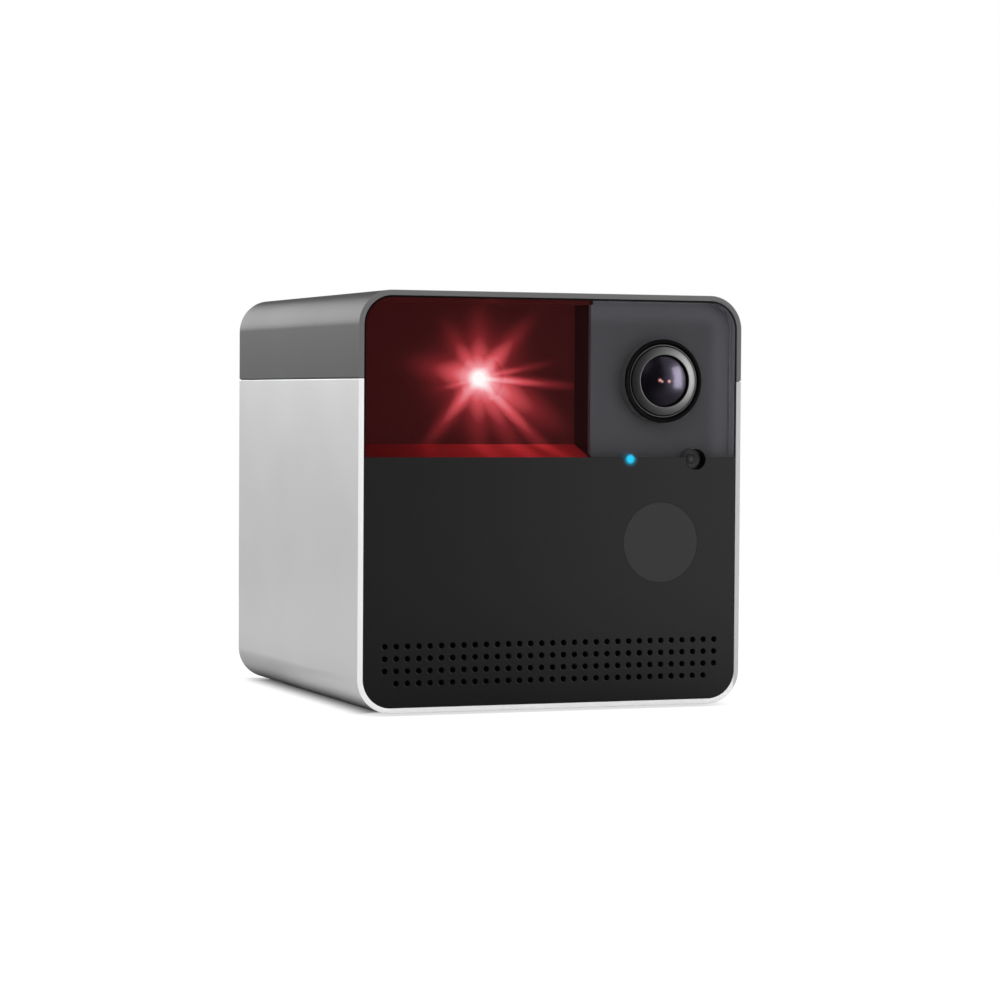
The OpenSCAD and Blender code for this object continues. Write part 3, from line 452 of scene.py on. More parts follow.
def frame_tube(inside, wall, front, back):
    """A tube from front to back that runs this far inside the housing's outline."""
    mesh = bmesh.new()
    bmesh.ops.create_grid(mesh, x_segments=1, y_segments=1, size=1)
    upright = Matrix.Translation((0, front, middle_z)) @ Matrix.Rotation(math.pi / 2, 4, "X")
    sides = Matrix.Diagonal((half_width - inside, half_height - inside, 1, 1))
    bmesh.ops.transform(mesh, verts=mesh.verts, matrix=upright @ sides)
    bmesh.ops.bevel(mesh, geom=mesh.verts[:], offset=CORNER - inside, affect="VERTICES",
                    segments=CORNER_STEPS, profile=0.5, material=-1)
    face = mesh.faces[:][0]
    bmesh.ops.inset_region(mesh, faces=[face], thickness=wall, use_boundary=True, use_even_offset=True)
    bmesh.ops.delete(mesh, geom=[face], context="FACES_ONLY")
    pulled = bmesh.ops.extrude_face_region(mesh, geom=mesh.faces[:])["geom"]
    moved = [item for item in pulled if isinstance(item, bmesh.types.BMVert)]
    bmesh.ops.translate(mesh, verts=moved, vec=(0, back - front, 0))
    return mesh


def keep_side(mesh, place, normal):
    """Only what lies on the normal's side of a plane stays, and the cut is closed."""
    cut = bmesh.ops.bisect_plane(mesh, geom=whole(mesh), plane_co=place, plane_no=normal,
                                 clear_inner=True)["geom_cut"]
    bmesh.ops.edgeloop_fill(mesh, edges=[item for item in cut if isinstance(item, bmesh.types.BMEdge)])
    bmesh.ops.recalc_face_normals(mesh, faces=mesh.faces)


def housing_tube(height, keep_above):
    mesh = frame_tube(0, WALL, FRONT, BACK)
    keep_side(mesh, (0, 0, height), (0, 0, 1 if keep_above else -1))
    round_edges(mesh, edges_at(mesh, height, 0), EDGE_ROUND, steps=3)
    round_edges(mesh, edges_at(mesh, height, -WALL), EDGE_ROUND / 2, steps=2)
    return mesh


def smooth_object(name, mesh, body, *replaced):
    """A smooth piece with crisp edges, which rides on a body and may stand for CAD nodes."""
    made = mesh_object(name, mesh)
    made.data.shade_smooth()
    made.data.set_sharp_from_angle(angle=CREASE)
    made.modifiers.new("face_weights", "WEIGHTED_NORMAL").keep_sharp = True
    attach(made, body)
    if replaced:
        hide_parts(*replaced)
    return made


shell_mesh = housing_tube(SEAM, keep_above=False)
cap_mesh = housing_tube(SEAM + SEAM_GAP, keep_above=True)
print("shell faces:", len(shell_mesh.faces), "cap faces:", len(cap_mesh.faces))

# %% [markdown]
# The base has round holes for the tripod insert and for the screws under the rubber pad. A boolean
# with cylinders could leave slivers beside the thin wall's rows of faces. Here a square is cut
# through both sides of the base and bridged, and its four upright edges are bevelled until they
# meet as a circle.

# %% Holes in the base
INSERT_RADIUS = 4.5 * MM
SCREW_HEAD_RADIUS = 2.2 * MM
BASE_TOP = 3 * MM
LEVEL = 0.9
HOLE_STEPS = 10
NEARLY_ROUND = 0.999


def base_faces(mesh):
    """The level faces of the base, above and below."""
    return [
        face for face in mesh.faces
        if abs(face.normal.z) > LEVEL and face.calc_center_median().z < BASE_TOP
    ]


def round_hole(mesh, x, y, radius):
    """The four bevels stop just short of each other, so that no edge shrinks to a point."""
    for place, normal in (((x - radius, 0, 0), (1, 0, 0)), ((x + radius, 0, 0), (1, 0, 0)),
                          ((0, y - radius, 0), (0, 1, 0)), ((0, y + radius, 0), (0, 1, 0))):
        faces = base_faces(mesh)
        edges = dict.fromkeys(edge for face in faces for edge in face.edges)
        verts = dict.fromkeys(vert for face in faces for vert in face.verts)
        bmesh.ops.bisect_plane(mesh, geom=faces + list(edges) + list(verts),
                               plane_co=place, plane_no=normal)
    inside = [
        face for face in base_faces(mesh)
        if max(abs(face.calc_center_median().x - x), abs(face.calc_center_median().y - y)) < radius
    ]
    bmesh.ops.delete(mesh, geom=inside, context="FACES_ONLY")
    rims = [edge for edge in mesh.edges if edge.is_boundary]
    walls = bmesh.ops.bridge_loops(mesh, edges=rims)["faces"]
    upright = dict.fromkeys(
        edge for face in walls for edge in face.edges
        if abs(edge.verts[0].co.z - edge.verts[1].co.z) > NEAR
    )
    round_edges(mesh, upright, NEARLY_ROUND * radius, HOLE_STEPS)


insert_low, insert_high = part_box("tripod_insert")
screws_low, screws_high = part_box("base_screws")
round_hole(shell_mesh, 0, (insert_low.y + insert_high.y) / 2, INSERT_RADIUS)
for screw_x in (screws_low.x + SCREW_HEAD_RADIUS, screws_high.x - SCREW_HEAD_RADIUS):
    for screw_y in (screws_low.y + SCREW_HEAD_RADIUS, screws_high.y - SCREW_HEAD_RADIUS):
        round_hole(shell_mesh, screw_x, screw_y, SCREW_HEAD_RADIUS)
bmesh.ops.remove_doubles(shell_mesh, verts=shell_mesh.verts, dist=NEAR / 2)
bmesh.ops.recalc_face_normals(shell_mesh, faces=shell_mesh.faces)
print("open edges:", sum(not edge.is_manifold for edge in shell_mesh.edges))

# %% [markdown]
# Four tongues under the cap's edge reach down inside the shell and hold the two walls in line. Each
# is a small block with rounded edges that find their way in. It stands a little inside the wall,
# and a thin web joins it to the cap. They could be drawn out of the wall's own faces, but blocks
# that overlap it are simpler, and the joint is never seen.

# %% Cap tongues
TONGUE_LONG = 10 * MM
TONGUE_THICK = 1 * MM
TONGUE_GRIP = 4 * MM
TONGUE_ROUND = 0.25 * MM
TONGUE_PLACES = (FRONT + 25 * MM, FRONT + 60 * MM)

tongue_out = half_width - WALL - SEAM_GAP
tongue_tall = SEAM + TONGUE_GRIP - cap_low.z
tongue_size = Matrix.Diagonal((TONGUE_THICK, TONGUE_LONG, tongue_tall, 1))
web_size = Matrix.Diagonal((2 * SEAM_GAP, TONGUE_LONG - MM, TONGUE_GRIP - SEAM_GAP, 1))
for tongue_x in (-tongue_out + TONGUE_THICK / 2, tongue_out - TONGUE_THICK / 2):
    for tongue_y in TONGUE_PLACES:
        centre = Matrix.Translation((tongue_x, tongue_y, cap_low.z + tongue_tall / 2))
        tongue = bmesh.ops.create_cube(cap_mesh, size=1, matrix=centre @ tongue_size)["verts"]
        sides = dict.fromkeys(edge for vert in tongue for edge in vert.link_edges)
        round_edges(cap_mesh, sides, TONGUE_ROUND, steps=2)
        web_x = math.copysign(half_width - WALL - SEAM_GAP / 2, tongue_x)
        web = Matrix.Translation((web_x, tongue_y, SEAM + TONGUE_GRIP / 2 + SEAM_GAP / 2))
        bmesh.ops.create_cube(cap_mesh, size=1, matrix=web @ web_size)
print("cap bottom:", round(cap_low.z / MM, 2), "mm")

shell = smooth_object("metal_shell", shell_mesh, "housing", "side_shell")
cap = smooth_object("plastic_cap", cap_mesh, "housing", "top_cap")

# %% [markdown]
# Two thin strips follow the same outline inside the housing. A dark seal closes the seam, so that
# no light shines through it, and a lip on the camera plate reaches forward to the window. A curve
# with a bevel could draw them, but the helper for the tube keeps them on the housing's outline.

# %% Seal and lip
SEAL_INSIDE = 0.3 * MM
SEAL_WALL = 0.45 * MM
SEAL_GRIP = 0.1 * MM
LIP_WALL = 0.5 * MM

window_low, window_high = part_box("front_window")
plate_low, plate_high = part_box("camera_plate")
seal_mesh = frame_tube(SEAL_INSIDE, SEAL_WALL, FRONT + SEAL_INSIDE, BACK - SEAL_INSIDE)
keep_side(seal_mesh, (0, 0, SEAM - SEAL_GRIP), (0, 0, 1))
keep_side(seal_mesh, (0, 0, SEAM + SEAM_GAP + SEAL_GRIP), (0, 0, -1))
lip_mesh = frame_tube(half_width - plate_high.x, LIP_WALL, window_high.y, plate_low.y)
keep_side(lip_mesh, (plate_low.x, 0, 0), (1, 0, 0))
keep_side(lip_mesh, (0, 0, window_low.z), (0, 0, 1))
seal = smooth_object("seam_seal", seal_mesh, "housing")
lip = smooth_object("plate_lip", lip_mesh, "housing")
print("seal faces:", len(seal.data.polygons), "lip faces:", len(lip.data.polygons))

# %% [markdown]
# The lens is turned work: a black trim ring, a thin metal retainer, a barrel with a cut face, a
# stepped baffle against stray light, a coated inner element and the domed front glass. The light
# sensor and the collar round the laser ball are turned too. Each is a profile of radius and depth
# behind the rim, in mm, that is spun round its axis. A Screw modifier would spin it too, but the
# operator leaves a mesh whose sharp edges can then be rounded.

# %% Turned pieces
TURN_STEPS = 128
CUT_EDGE = math.radians(25)


def arc(radius, apex, outer, steps):
    """Points of a dome from the axis out to a radius."""
    points = []
    for step in range(steps + 1):
        across = outer * step / steps
        points.append((across, apex + radius - math.sqrt(radius ** 2 - across ** 2)))
    return points


def front_axis(node):
    """The point where a piece's axis meets the plane of the front rim."""
    low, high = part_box(node)
    return Vector(((low.x + high.x) / 2, FRONT, (low.z + high.z) / 2))


def turned(name, origin, profile, *replaced, along=Vector((0, 1, 0)), soften=0.0):
    """A closed profile, or one that starts and ends on the axis, is spun through a full turn."""
    mesh = bmesh.new()
    points = []
    for radius, depth in profile:
        points.append(mesh.verts.new(origin + MM * (radius * Vector((1, 0, 0)) + depth * along)))
    pairs = list(zip(points, points[1:]))
    if profile[0][0] > 0:
        pairs.append((points[-1], points[0]))
    lines = [mesh.edges.new(pair) for pair in pairs]
    bmesh.ops.spin(mesh, geom=points + lines, cent=origin, axis=along, angle=2 * math.pi,
                   steps=TURN_STEPS, use_merge=True)
    bmesh.ops.remove_doubles(mesh, verts=mesh.verts, dist=NEAR / 10)
    bmesh.ops.recalc_face_normals(mesh, faces=mesh.faces)
    if soften:
        sharp = [edge for edge in mesh.edges if edge.calc_face_angle(0) > CUT_EDGE]
        round_edges(mesh, sharp, soften * MM, steps=2)
    return smooth_object(name, mesh, "housing", *replaced)


lens_axis = front_axis("lens_glass")
trim = turned("lens_trim", lens_axis, [
    (7.0, 3.1), (8.4, 3.1), (8.4, 0.4), (8.3, 0.3), (7.6, 0.3), (7.3, 0.75), (7.0, 1.3),
], "lens_trim_ring", soften=0.04)
retainer = turned("lens_retainer", lens_axis, [
    (7.02, 1.3), (7.02, 0.5), (7.1, 0.42), (7.22, 0.42), (7.3, 0.5), (7.3, 0.85),
], soften=0.02)
barrel = turned("lens_tube", lens_axis, [
    (3.5, 13), (6.9, 13), (6.9, 0.24), (6.8, 0.1), (5.42, -0.33), (5.26, -0.33), (5.2, -0.24),
    (5.2, 1.6), (3.5, 1.6),
], "lens_barrel", soften=0.03)
dome_profile = arc(12, -1, 5.18, 24) + [(5.18, 1.2)] + arc(11.5, -0.45, 5.0, 24)[::-1]
front_glass = turned("lens_dome", lens_axis, dome_profile, "lens_glass")
baffle = turned("lens_baffle", lens_axis, [
    (3.4, 1.58), (3.4, 1.46), (3.9, 1.46), (3.9, 1.34), (4.4, 1.34), (4.4, 1.24), (4.85, 1.24),
    (5.1, 1.36), (5.1, 1.58),
], soften=0.02)
inner_profile = arc(5.2, 1.5, 3.4, 16) + [(3.4, 4.2), (0, 4.2)]
inner_glass = turned("lens_inner_element", lens_axis, inner_profile)

sensor_axis = front_axis("light_sensor")
sensor = turned("light_sensor_cell", sensor_axis, arc(1.3, 2.3, 0.95, 8) + [
    (0.95, 2.8), (1.25, 2.8), (1.35, 2.6), (1.95, 2.6), (2.1, 2.75), (2.1, 8.4), (0, 8.4),
], "light_sensor", soften=0.03)
sleeve = turned("sensor_sleeve", sensor_axis, [
    (1.98, 2.58), (2.12, 2.58), (2.12, 0.3), (2.05, 0.25), (1.98, 0.3),
], soften=0.02)

laser_axis = front_axis("laser_lens")
collar = turned("laser_collar", laser_axis, [
    (4.8, 10.95), (5.05, 10.95), (5.05, 11.45), (4.95, 11.6), (4.58, 11.6), (4.58, 11.45),
    (4.8, 11.35),
], soften=0.03)
print("turned:", len((trim, retainer, barrel, front_glass, baffle, inner_glass, sensor, sleeve, collar)))

# %% [markdown]
# A soft box on the right makes the highlight on the lens. It is linked to the lens pieces alone,
# because the satin top would mirror it too when it is seen from behind, and lose its grey.

# %% Lens light
lens_light = soft_box("lens_light", place=(0.47, -0.4, 0.13), aim=lens_axis, size=(0.2, 0.34), power=2.7)
only_on(lens_light, [trim, retainer, barrel, front_glass])
print("lens light at", [round(value, 2) for value in lens_light.location])

# %% [markdown]
# The brass insert in the base takes a quarter-inch tripod screw with 20 turns to the inch. The
# insert is turned with the wide radius of the thread, and the thread itself is one flat-topped
# tooth that climbs by a pitch in every turn of a screw-like spin.

# %% Tripod thread
THREAD_PITCH = 1.27 * MM
THREAD_TURNS = 5
THREAD_STEPS = 48
TOOTH = ((3.25, 0.5), (2.55, 0.9), (2.55, 1.05), (3.25, 1.45))

insert_foot = Vector((0, (insert_low.y + insert_high.y) / 2, insert_low.z))
insert = turned("threaded_insert", insert_foot, [
    (0, 8), (3.18, 8), (3.18, 0.35), (3.5, 0), (4.5, 0), (4.5, 1.05), (7, 1.05), (7, 2.45),
    (4.5, 2.45), (4.5, 9.2), (0, 9.2),
], "tripod_insert", along=Vector((0, 0, 1)), soften=0.05)
thread_mesh = bmesh.new()
corners = []
for tooth_radius, tooth_height in TOOTH:
    tooth_corner = insert_foot + MM * Vector((tooth_radius, 0, tooth_height))
    corners.append(thread_mesh.verts.new(tooth_corner))
tooth = thread_mesh.faces.new(corners)
bmesh.ops.spin(thread_mesh, geom=[tooth], cent=insert_foot, axis=(0, 0, 1),
               angle=2 * math.pi * THREAD_TURNS, dvec=(0, 0, THREAD_PITCH / THREAD_STEPS),
               steps=THREAD_STEPS * THREAD_TURNS)
bmesh.ops.recalc_face_normals(thread_mesh, faces=thread_mesh.faces)
print("thread: open edges", sum(not edge.is_manifold for edge in thread_mesh.edges))
thread = smooth_object("insert_thread", thread_mesh, "housing")
thread_heights = [vert.co.z for vert in thread.data.vertices]
print("thread from", round(min(thread_heights) / MM, 2), "to", round(max(thread_heights) / MM, 2), "mm")

# %% [markdown]
# Most pieces are moulded plastic or plain metal. A finish is never one flat colour: a fine grain
# breaks the gloss, and a slow cloud changes colour and roughness a little, as handling and moulding
# do.

# %% Plain finishes
PLASTIC_CLOUD = 20 * MM
METAL_CLOUD = 15 * MM
METAL_GRAIN = 0.12 * MM
METAL_GRAIN_DEPTH = 0.002 * MM


def moulded(name, tone, gloss, grain=0.15, depth=0.002, **more):
    """A moulded plastic. The grain's size and depth are in mm."""
    finish = Finish(name)
    cloud = finish.noise(PLASTIC_CLOUD)
    return finish.principled(
        base_color=finish.mix(cloud, darker(tone, 0.92), tone),
        roughness=gloss + 0.06 * (cloud - 0.5),
        normal=finish.bump(finish.noise(grain * MM), depth * MM),
        **more,
    )


def metal(name, tone, gloss):
    """A metal with a fine, even grain."""
    finish = Finish(name)
    cloud = finish.noise(METAL_CLOUD)
    return finish.principled(
        base_color=finish.mix(cloud, darker(tone, 0.94), tone),
        metallic=1.0,
        roughness=gloss + 0.05 * (cloud - 0.5),
        normal=finish.bump(finish.noise(METAL_GRAIN), METAL_GRAIN_DEPTH),
    )


SLOTS = {
    "shell_aluminium": metal("blasted_aluminium", (0.9, 0.9, 0.91, 1), 0.32),
    "cap_plastic": moulded("cap_satin", grey(44), 0.36),
    "rear_plastic": moulded("rear_black", grey(30), 0.45, grain=0.3, depth=0.006),
    "inner_plastic": moulded("inner_black", grey(38), 0.55),
    "pad_rubber": moulded("pad_rubber", grey(34), 0.8, grain=0.5, depth=0.02),
    "brass": metal("brass", rgb(214, 180, 110), 0.3),
    "steel": metal("steel", grey(190), 0.3),
    "lens_ring": moulded("trim_black", grey(4), 0.3, specular_ior_level=0.04),
    "lens_metal": metal("lens_metal", grey(90), 0.42),
    "clear_glass": moulded("filter_glass", rgb(150, 180, 190), 0.1, depth=0.0),
    "coil_copper": metal("coil_copper", rgb(190, 110, 70), 0.4),
    "board": moulded("board_green", rgb(30, 96, 60), 0.45),
    "chip": moulded("chip_black", grey(36), 0.5),
    "night_window": moulded("night_window", grey(49), 0.35, depth=0.0, specular_ior_level=0.25),
    "sensor_plastic": moulded("sensor_grey", grey(84), 0.4),
    "cone_paper": moulded("cone_paper", grey(30), 0.8, grain=0.3, depth=0.01),
    "gear_nylon": moulded("gear_nylon", rgb(226, 222, 208), 0.45),
    "sink_aluminium": metal("sink_aluminium", grey(170), 0.4),
    "flex": moulded("flex_orange", rgb(196, 120, 50), 0.4),
}
print("plain finishes:", len(SLOTS))

# %% [markdown]
# The black front is glossy plastic, and round the status light its skin glows a little. Every hole
# of the grille has a worn-in round edge: one bump that repeats with the pitch of the holes draws
# all of them, where a bevel on each hole would cost thousands of faces.

# %% Front panel
CYAN = rgb(0, 205, 255)
HALO = (0.6 * MM, 2.0 * MM)
HALO_SHARE = 0.35
GRILLE_PITCH_X = 2.33 * MM
GRILLE_PITCH_Z = 2.4 * MM
GRILLE_Z = 9.9 * MM
GRILLE_HALF_WIDTH = 36.1 * MM
GRILLE_HALF_HEIGHT = 4.8 * MM
BARE_CORNER_X = 33.7 * MM
BARE_CORNER_Z = 7.4 * MM
HOLE_RADIUS = 0.575 * MM
HOLE_ROUND = 0.15 * MM
HOLE_ROUND_DEPTH = 0.03 * MM
GLOSS_CLOUD = 25 * MM
BLUR = 0.1 * MM

pipe_axis = front_axis("status_light_pipe")


def around(finish, axis_x, axis_z):
    """The distance from a line through this point, from front to back."""
    at_x, _, at_z = finish.split(finish.place())
    return ((at_x - axis_x) ** 2 + (at_z - axis_z) ** 2) ** 0.5


def halo(finish):
    """The glow round the status light."""
    glow = 1 - around(finish, pipe_axis.x, pipe_axis.z).step(*HALO)
    return finish.mix(glow * glow, BLACK, darker(CYAN, HALO_SHARE))


panel = Finish("front_gloss_black")
panel_x, _, panel_z = panel.split(panel.place())
from_column = panel_x.fold(GRILLE_PITCH_X / 2)
from_row = (panel_z - GRILLE_Z - GRILLE_PITCH_Z / 2).fold(GRILLE_PITCH_Z / 2)
from_hole = (from_column ** 2 + from_row ** 2) ** 0.5
in_width = 1 - abs(panel_x).step(GRILLE_HALF_WIDTH, GRILLE_HALF_WIDTH + BLUR)
in_height = 1 - abs(panel_z - GRILLE_Z).step(GRILLE_HALF_HEIGHT, GRILLE_HALF_HEIGHT + BLUR)
in_lowest_row = 1 - panel_z.step(BARE_CORNER_Z, BARE_CORNER_Z + BLUR)
in_corner = abs(panel_x).step(BARE_CORNER_X, BARE_CORNER_X + BLUR) * in_lowest_row
near_hole = 1 - from_hole.step(HOLE_RADIUS - HOLE_ROUND, HOLE_RADIUS + HOLE_ROUND)
hole_edge = 1 - near_hole * in_width * in_height * (1 - in_corner)
panel_cloud = panel.noise(GLOSS_CLOUD)
SLOTS["panel_plastic"] = panel.principled(
    base_color=panel.mix(panel_cloud, grey(21), grey(23)),
    roughness=0.2 + 0.03 * panel_cloud,
    specular_ior_level=0.38,
    emission_color=halo(panel),
    emission_strength=1.0,
    normal=panel.bump(hole_edge, HOLE_ROUND_DEPTH),
)
print("grille pitch:", GRILLE_PITCH_X / MM, GRILLE_PITCH_Z / MM)

# %% [markdown]
# The window above the panel is smoked plastic: dark, but clear enough to show what stands behind
# it. Alpha lets both the view and the light through, where real refraction would need many more
# light paths. The camera plate behind it is painted paler towards the walls, as painted light that
# lifts the shade there. On the right the window's edge is painted in that pale grey, a painted
# reflection of the plate, and a thin dark line of sealant runs along the rim.

# %% Smoked window
PLATE_GREY = rgb(101, 100, 106)
PLATE_PAINTED_LIGHT = rgb(142, 141, 148)
PLATE_LIGHT_FADE = (-7 * MM, -1.2 * MM)
PLATE_CLOUD = 12 * MM
PLATE_GRAIN = 0.15 * MM
PLATE_GRAIN_DEPTH = 0.002 * MM
SMOKE_ALPHA = 0.2
EDGE_ALPHA = 0.76
WINDOW_EDGE = -WALL - 0.08 * MM
EDGE_SKIN = (WINDOW_EDGE - 0.08 * MM, WINDOW_EDGE - 0.04 * MM)
SEALANT = (WINDOW_EDGE - 0.34 * MM, WINDOW_EDGE - 0.26 * MM)
BEHIND_FACE = (window_low.y + 0.05 * MM, window_low.y + 0.1 * MM)


def outside(finish):
    """How far a point lies outside the housing's outline, as a pattern."""
    at_x, _, at_z = finish.split(finish.place())
    across = abs(at_x) - (half_width - CORNER)
    along = abs(at_z - middle_z) - (half_height - CORNER)
    corner = (across.at_least(0) ** 2 + along.at_least(0) ** 2) ** 0.5
    return corner + across.at_least(along).at_most(0) - CORNER


plate = Finish("camera_plate_grey")
# The plate is painted paler near the walls: painted light against the walls' shade.
SLOTS["plate_plastic"] = plate.principled(
    base_color=plate.mix(outside(plate).step(*PLATE_LIGHT_FADE), PLATE_GREY, PLATE_PAINTED_LIGHT),
    roughness=0.34 + 0.05 * plate.noise(PLATE_CLOUD),
    normal=plate.bump(plate.noise(PLATE_GRAIN), PLATE_GRAIN_DEPTH),
)

smoke = Finish("smoked_window")
smoke_x, smoke_y, _ = smoke.split(smoke.place())
to_edge = outside(smoke)
behind_face = smoke_y.step(*BEHIND_FACE)
over_plate = smoke_x.step(plate_low.x, plate_low.x + BLUR)
# The window's edge over the plate is painted in the plate's pale grey: a painted reflection.
edge_painted_reflection = behind_face * to_edge.step(*EDGE_SKIN) * over_plate
sealant = (1 - behind_face) * to_edge.step(*SEALANT)
smoke_cloud = smoke.noise(GLOSS_CLOUD)
smoke_tone = smoke.mix(smoke_cloud, grey(9), grey(11))
SLOTS["smoked_window"] = smoke.principled(
    base_color=smoke.mix(edge_painted_reflection, smoke_tone, PLATE_PAINTED_LIGHT),
    roughness=0.08 + 0.03 * smoke_cloud,
    specular_ior_level=0.1,
    alpha=SMOKE_ALPHA + 0.02 * smoke_cloud + EDGE_ALPHA * edge_painted_reflection.at_least(sealant),
    emission_color=halo(smoke),
    emission_strength=1.0,
)
print("window edge:", round(-WINDOW_EDGE / MM, 2), "mm inside the outline")

# %% [markdown]
# The status light is the polished end of a light pipe. Only its tip glows, brightest in the middle,
# and the rest of the rod has the grey of the plate that holds it. A lit disc in front of a grey rod
# would look the same, but the real pipe is one piece, so a mask by depth picks the tip.

# %% Status light
PIPE_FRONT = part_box("status_light_pipe")[0].y
TIP_DEPTH = (PIPE_FRONT + 0.02 * MM, PIPE_FRONT + 0.1 * MM)
TIP_FADE = (0.5 * MM, 1.0 * MM)
TIP_EDGE_LOSS = 0.6
ROD_GRAIN = 0.6 * MM

cyan = Finish("status_cyan")
_, tip_y, _ = cyan.split(cyan.place())
tip = 1 - tip_y.step(*TIP_DEPTH)
tip_edge = around(cyan, pipe_axis.x, pipe_axis.z).step(*TIP_FADE)
rod_tone = cyan.mix(cyan.noise(ROD_GRAIN), darker(PLATE_GREY, 0.9), PLATE_GREY)
SLOTS["status_pipe"] = cyan.principled(
    base_color=cyan.mix(tip, rod_tone, grey(4)),
    roughness=0.3,
    emission_color=cyan.mix(tip * (1 - TIP_EDGE_LOSS * tip_edge), BLACK, CYAN),
    emission_strength=1.0,
)
print("status light at", round(pipe_axis.x / MM, 2), round(pipe_axis.z / MM, 2))

# %% [markdown]
# The laser fills its chamber with a red star. Its rays come from the scratches and the rim of the
# little optic, so no two are alike. A lamp in the chamber would need many samples and give a round
# spot, so the star is drawn as light that the chamber itself gives off. It is a round glow of three
# sizes, and at each point the brightest of the soft rays is laid over it like a second exposure.

# %% Laser star
# Strength and size in mm of each round glow.
GLOWS = ((0.62, 2.1), (0.29, 5), (0.21, 10))
# Angle in degrees, length and width in mm, and strength of each ray.
RAYS = (
    (-4, 20, 0.9, 0.66), (12, 15, 0.7, 0.4), (47, 16, 1.7, 0.44), (90, 14, 2.0, 0.28),
    (124, 12, 1.6, 0.34), (169, 14, 2.2, 0.44), (194, 9, 0.7, 0.46), (230, 18, 1.4, 0.48),
    (270, 16, 2.2, 0.28), (300, 19, 2.2, 0.36), (316, 22, 1.6, 0.64), (332, 20, 3.2, 0.52),
)
RAY_START = (0, 1.5)
RAY_FADE = 0.7


def star(finish, shift):
    """The glow and its rays, shifted sideways by this many mm."""
    at_x, _, at_z = finish.split(finish.place())
    across = (at_x - laser_axis.x) / MM - shift
    rise = (at_z - laser_axis.z) / MM
    reach = (across * across + rise * rise) ** 0.5
    glow = 0
    for strength, size in GLOWS:
        glow = glow + strength * (reach / size).bell()
    brightest = 0 * reach
    for angle, length, width, strength in RAYS:
        turn = math.radians(angle)
        along = across * math.cos(turn) + rise * math.sin(turn)
        beside = rise * math.cos(turn) - across * math.sin(turn)
        streak = (beside / width).bell() * (along / (RAY_FADE * length)).bell()
        brightest = brightest.at_least(strength * streak * along.step(*RAY_START))
    return 1 - (1 - glow) * (1 - brightest)


print("rays:", len(RAYS))

# %% [markdown]
# A colour ramp turns the strength into colour, from dark red over pink to white. The chamber's back
# wall, floor and right wall lie at different angles to the beam, so each starts from its own level,
# and a tint makes the floor a deeper red. The ball, the barrel and the optic carry on the same
# star.

# %% Chamber and laser head
FLOOR_TOP = (52.5 * MM, 52.65 * MM)
RIGHT_WALL = (8.2 * MM, 8.3 * MM)
BALL_LEVEL = 0.16
WALL_LEVEL = 0.15
SIDE_LEVEL = 0.04
FLOOR_LEVEL = 0.04
FLOOR_GLOW = 0.15
FLOOR_GLOW_X = -7 * MM
FLOOR_GLOW_WIDTH = 18 * MM
CHAMBER_SHIFT = -0.8
BALL_SHIFT = -0.36
STAR_SHARE = 0.86
LASER_STRENGTH = 1.6
NO_TINT = (1, 1, 1, 1)
DEEP_RED = (1, 0.45, 0.45, 1)
GLOW_STOPS = (
    (0.0, rgb(14, 1, 2)), (0.12, rgb(34, 7, 8)), (0.2, rgb(57, 14, 15)), (0.36, rgb(117, 32, 36)),
    (0.56, rgb(205, 76, 84)), (0.78, rgb(243, 148, 157)), (1.0, rgb(255, 250, 250)),
)


def glowing(name, tone, gloss, level_and_tint):
    """A dark skin that gives off laser light. A function says how much and in which tint."""
    finish = Finish(name)
    level, tint = level_and_tint(finish)
    ramp = finish.node("ShaderNodeValToRGB", inputs={0: level})
    stops = ramp.socket.node.color_ramp.elements
    stops[0].position, stops[0].color = GLOW_STOPS[0]
    stops[1].position, stops[1].color = GLOW_STOPS[-1]
    for position, colour in GLOW_STOPS[1:-1]:
        stops.new(position).color = colour
    return finish.principled(
        base_color=finish.mix(finish.noise(3 * MM), darker(tone, 0.85), tone),
        roughness=gloss,
        specular_ior_level=0.05,
        emission_color=finish.mix(1.0, ramp, tint, "MULTIPLY"),
        emission_strength=LASER_STRENGTH,
    )


def chamber_level(finish):
    at_x, _, at_z = finish.split(finish.place())
    on_floor = 1 - at_z.step(*FLOOR_TOP)
    on_side = at_x.step(*RIGHT_WALL)
    floor_light = FLOOR_LEVEL + FLOOR_GLOW * ((at_x - FLOOR_GLOW_X) / FLOOR_GLOW_WIDTH).bell()
    wall_light = WALL_LEVEL + 0.03 * finish.noise(12 * MM)
    lit = STAR_SHARE * star(finish, CHAMBER_SHIFT) + wall_light + on_floor * floor_light
    return (1 - on_side) * lit + SIDE_LEVEL * on_side, finish.mix(on_floor, NO_TINT, DEEP_RED)


def ball_level(finish):
    level = STAR_SHARE * star(finish, BALL_SHIFT) + BALL_LEVEL + 0.02 * finish.noise(4 * MM)
    return level, NO_TINT


SLOTS["chamber_plastic"] = glowing("chamber_dark_red", rgb(22, 4, 5), 0.7, chamber_level)
ball_finish = glowing("ball_dark", rgb(24, 8, 9), 0.5, ball_level)
SLOTS["laser_optic"] = glowing("laser_optic", rgb(90, 10, 14), 0.2, ball_level)
print("glow stops:", len(GLOW_STOPS))

# %% [markdown]
# The lens glass has a real index of refraction, so the dome bends the view of the baffle and
# mirrors the soft box in the lavender of its coating. Three small glints stand for the mirrored
# lights of the deeper elements. The element behind the dome is almost black, with a violet coating.

# %% Glass
# Place across and up from the axis, and size, of each glint in mm.
GLINTS = ((-1.25, 0.15, 0.24), (-0.8, -0.1, 0.18), (0.72, -0.05, 0.24))
COATING_FADE = (0.8 * MM, 3.2 * MM)

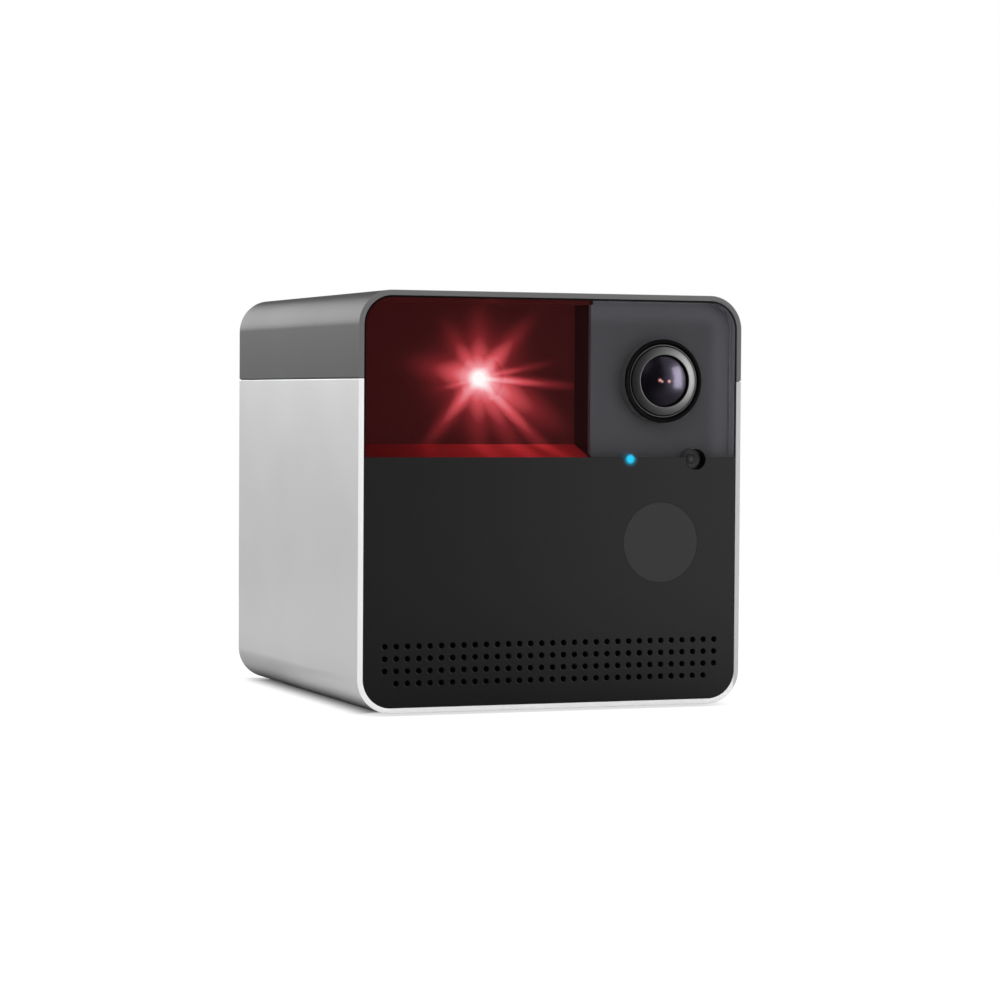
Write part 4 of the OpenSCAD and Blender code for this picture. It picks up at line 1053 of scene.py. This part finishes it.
dome = Finish("front_lens_glass")
glint = 0
for glint_x, glint_z, glint_size in GLINTS:
    from_glint = around(dome, lens_axis.x + glint_x * MM, lens_axis.z + glint_z * MM)
    glint = glint + (from_glint / (glint_size * MM)).bell()
SLOTS["lens_glass"] = dome.principled(
    base_color=dome.mix(dome.noise(4 * MM), rgb(62, 58, 72), rgb(68, 64, 80)),
    roughness=0.22,
    specular_tint=rgb(222, 210, 242),
    transmission_weight=1.0,
    ior=1.5,
    emission_color=dome.mix(glint, BLACK, rgb(250, 176, 168)),
    emission_strength=1.0,
)
coating = Finish("coated_inner_glass")
coat_reach = around(coating, lens_axis.x, lens_axis.z)
inner_coating = coating.principled(
    base_color=coating.mix(coat_reach.step(*COATING_FADE), rgb(10, 8, 22), rgb(16, 10, 26)),
    roughness=0.1,
    specular_ior_level=0.3,
)
print("glass:", dome.material.name, coating.material.name)

# %% [markdown]
# The cut rim of the shell is brighter than its blasted side. Along the right it is painted a darker
# grey, a painted shade, and its cut is duller there.
# It is a second finish in the same piece, given to the faces at the very front and back. The cap's
# rim and the outer sides of the lens trim and of the sensor's sleeve are done in the same way.

# %% Rims and outer sides
RIM_REACH = 0.3 * MM
RIM_PAINTED_SHADE = (half_width - 1.6 * MM, half_width - 0.9 * MM)
TRIM_SIDE = 8.37 * MM
SLEEVE_SIDE = 2.09 * MM


def two_finishes(piece, main, second, takes_second):
    """Faces whose centre passes the test take the second finish."""
    piece.data.materials.append(main)
    piece.data.materials.append(second)
    for polygon in piece.data.polygons:
        polygon.material_index = int(takes_second(polygon.center))


def on_rim(centre):
    return min(centre.y - FRONT, BACK - centre.y) < RIM_REACH


def on_trim_side(centre):
    return (centre - lens_axis).xz.length > TRIM_SIDE


def on_sleeve_side(centre):
    return (centre - sensor_axis).xz.length > SLEEVE_SIDE


rim = Finish("cut_rim")
rim_x, _, _ = rim.split(rim.place())
# Along the right the rim's colour is a painted shade, and the same mask makes the cut rougher there.
painted_shade_and_dull_cut = rim_x.step(*RIM_PAINTED_SHADE)
rim_finish = rim.principled(
    base_color=rim.mix(painted_shade_and_dull_cut, rim.mix(rim.noise(6 * MM), grey(241), grey(245)), grey(192)),
    metallic=0.15,
    roughness=0.35 + 0.06 * rim.noise(0.2 * MM) + 0.2 * painted_shade_and_dull_cut,
)
two_finishes(shell, SLOTS["shell_aluminium"], rim_finish, on_rim)
two_finishes(cap, SLOTS["cap_plastic"], moulded("cap_rim", grey(101), 0.4), on_rim)
two_finishes(trim, SLOTS["lens_ring"], moulded("trim_side", grey(104), 0.5), on_trim_side)
two_finishes(sleeve, SLOTS["lens_ring"], SLOTS["plate_plastic"], on_sleeve_side)
print("rim faces:", sum(polygon.material_index for polygon in shell.data.polygons))

# %% [markdown]
# Every other piece takes the finish of its material slot, and so does every node of the frame. The
# laser's ball and barrel and the inner glass of the lens have a finish of their own. The slots come
# from the CAD model's record, so a node that is added there gets its finish without a new line.

# %% Assignment
OWN = {"laser_ball": ball_finish, "laser_barrel": ball_finish, inner_glass.name: inner_coating}

for piece, slot in ((retainer, "lens_metal"), (barrel, "lens_metal"), (front_glass, "lens_glass"),
                    (baffle, "lens_ring"), (inner_glass, "lens_glass"), (sensor, "sensor_plastic"),
                    (collar, "chamber_plastic"), (insert, "brass"), (thread, "brass"),
                    (seal, "inner_plastic"), (lip, "plate_plastic")):
    piece.data.materials.append(OWN.get(piece.name, SLOTS[slot]))
for subpart in frame["record"]["subparts"]:
    mesh = nodes[subpart["node"]].data
    mesh.materials.clear()
    mesh.materials.append(OWN.get(subpart["node"], SLOTS[subpart["material_slot"]]))
print("finishes:", len(bpy.data.materials))
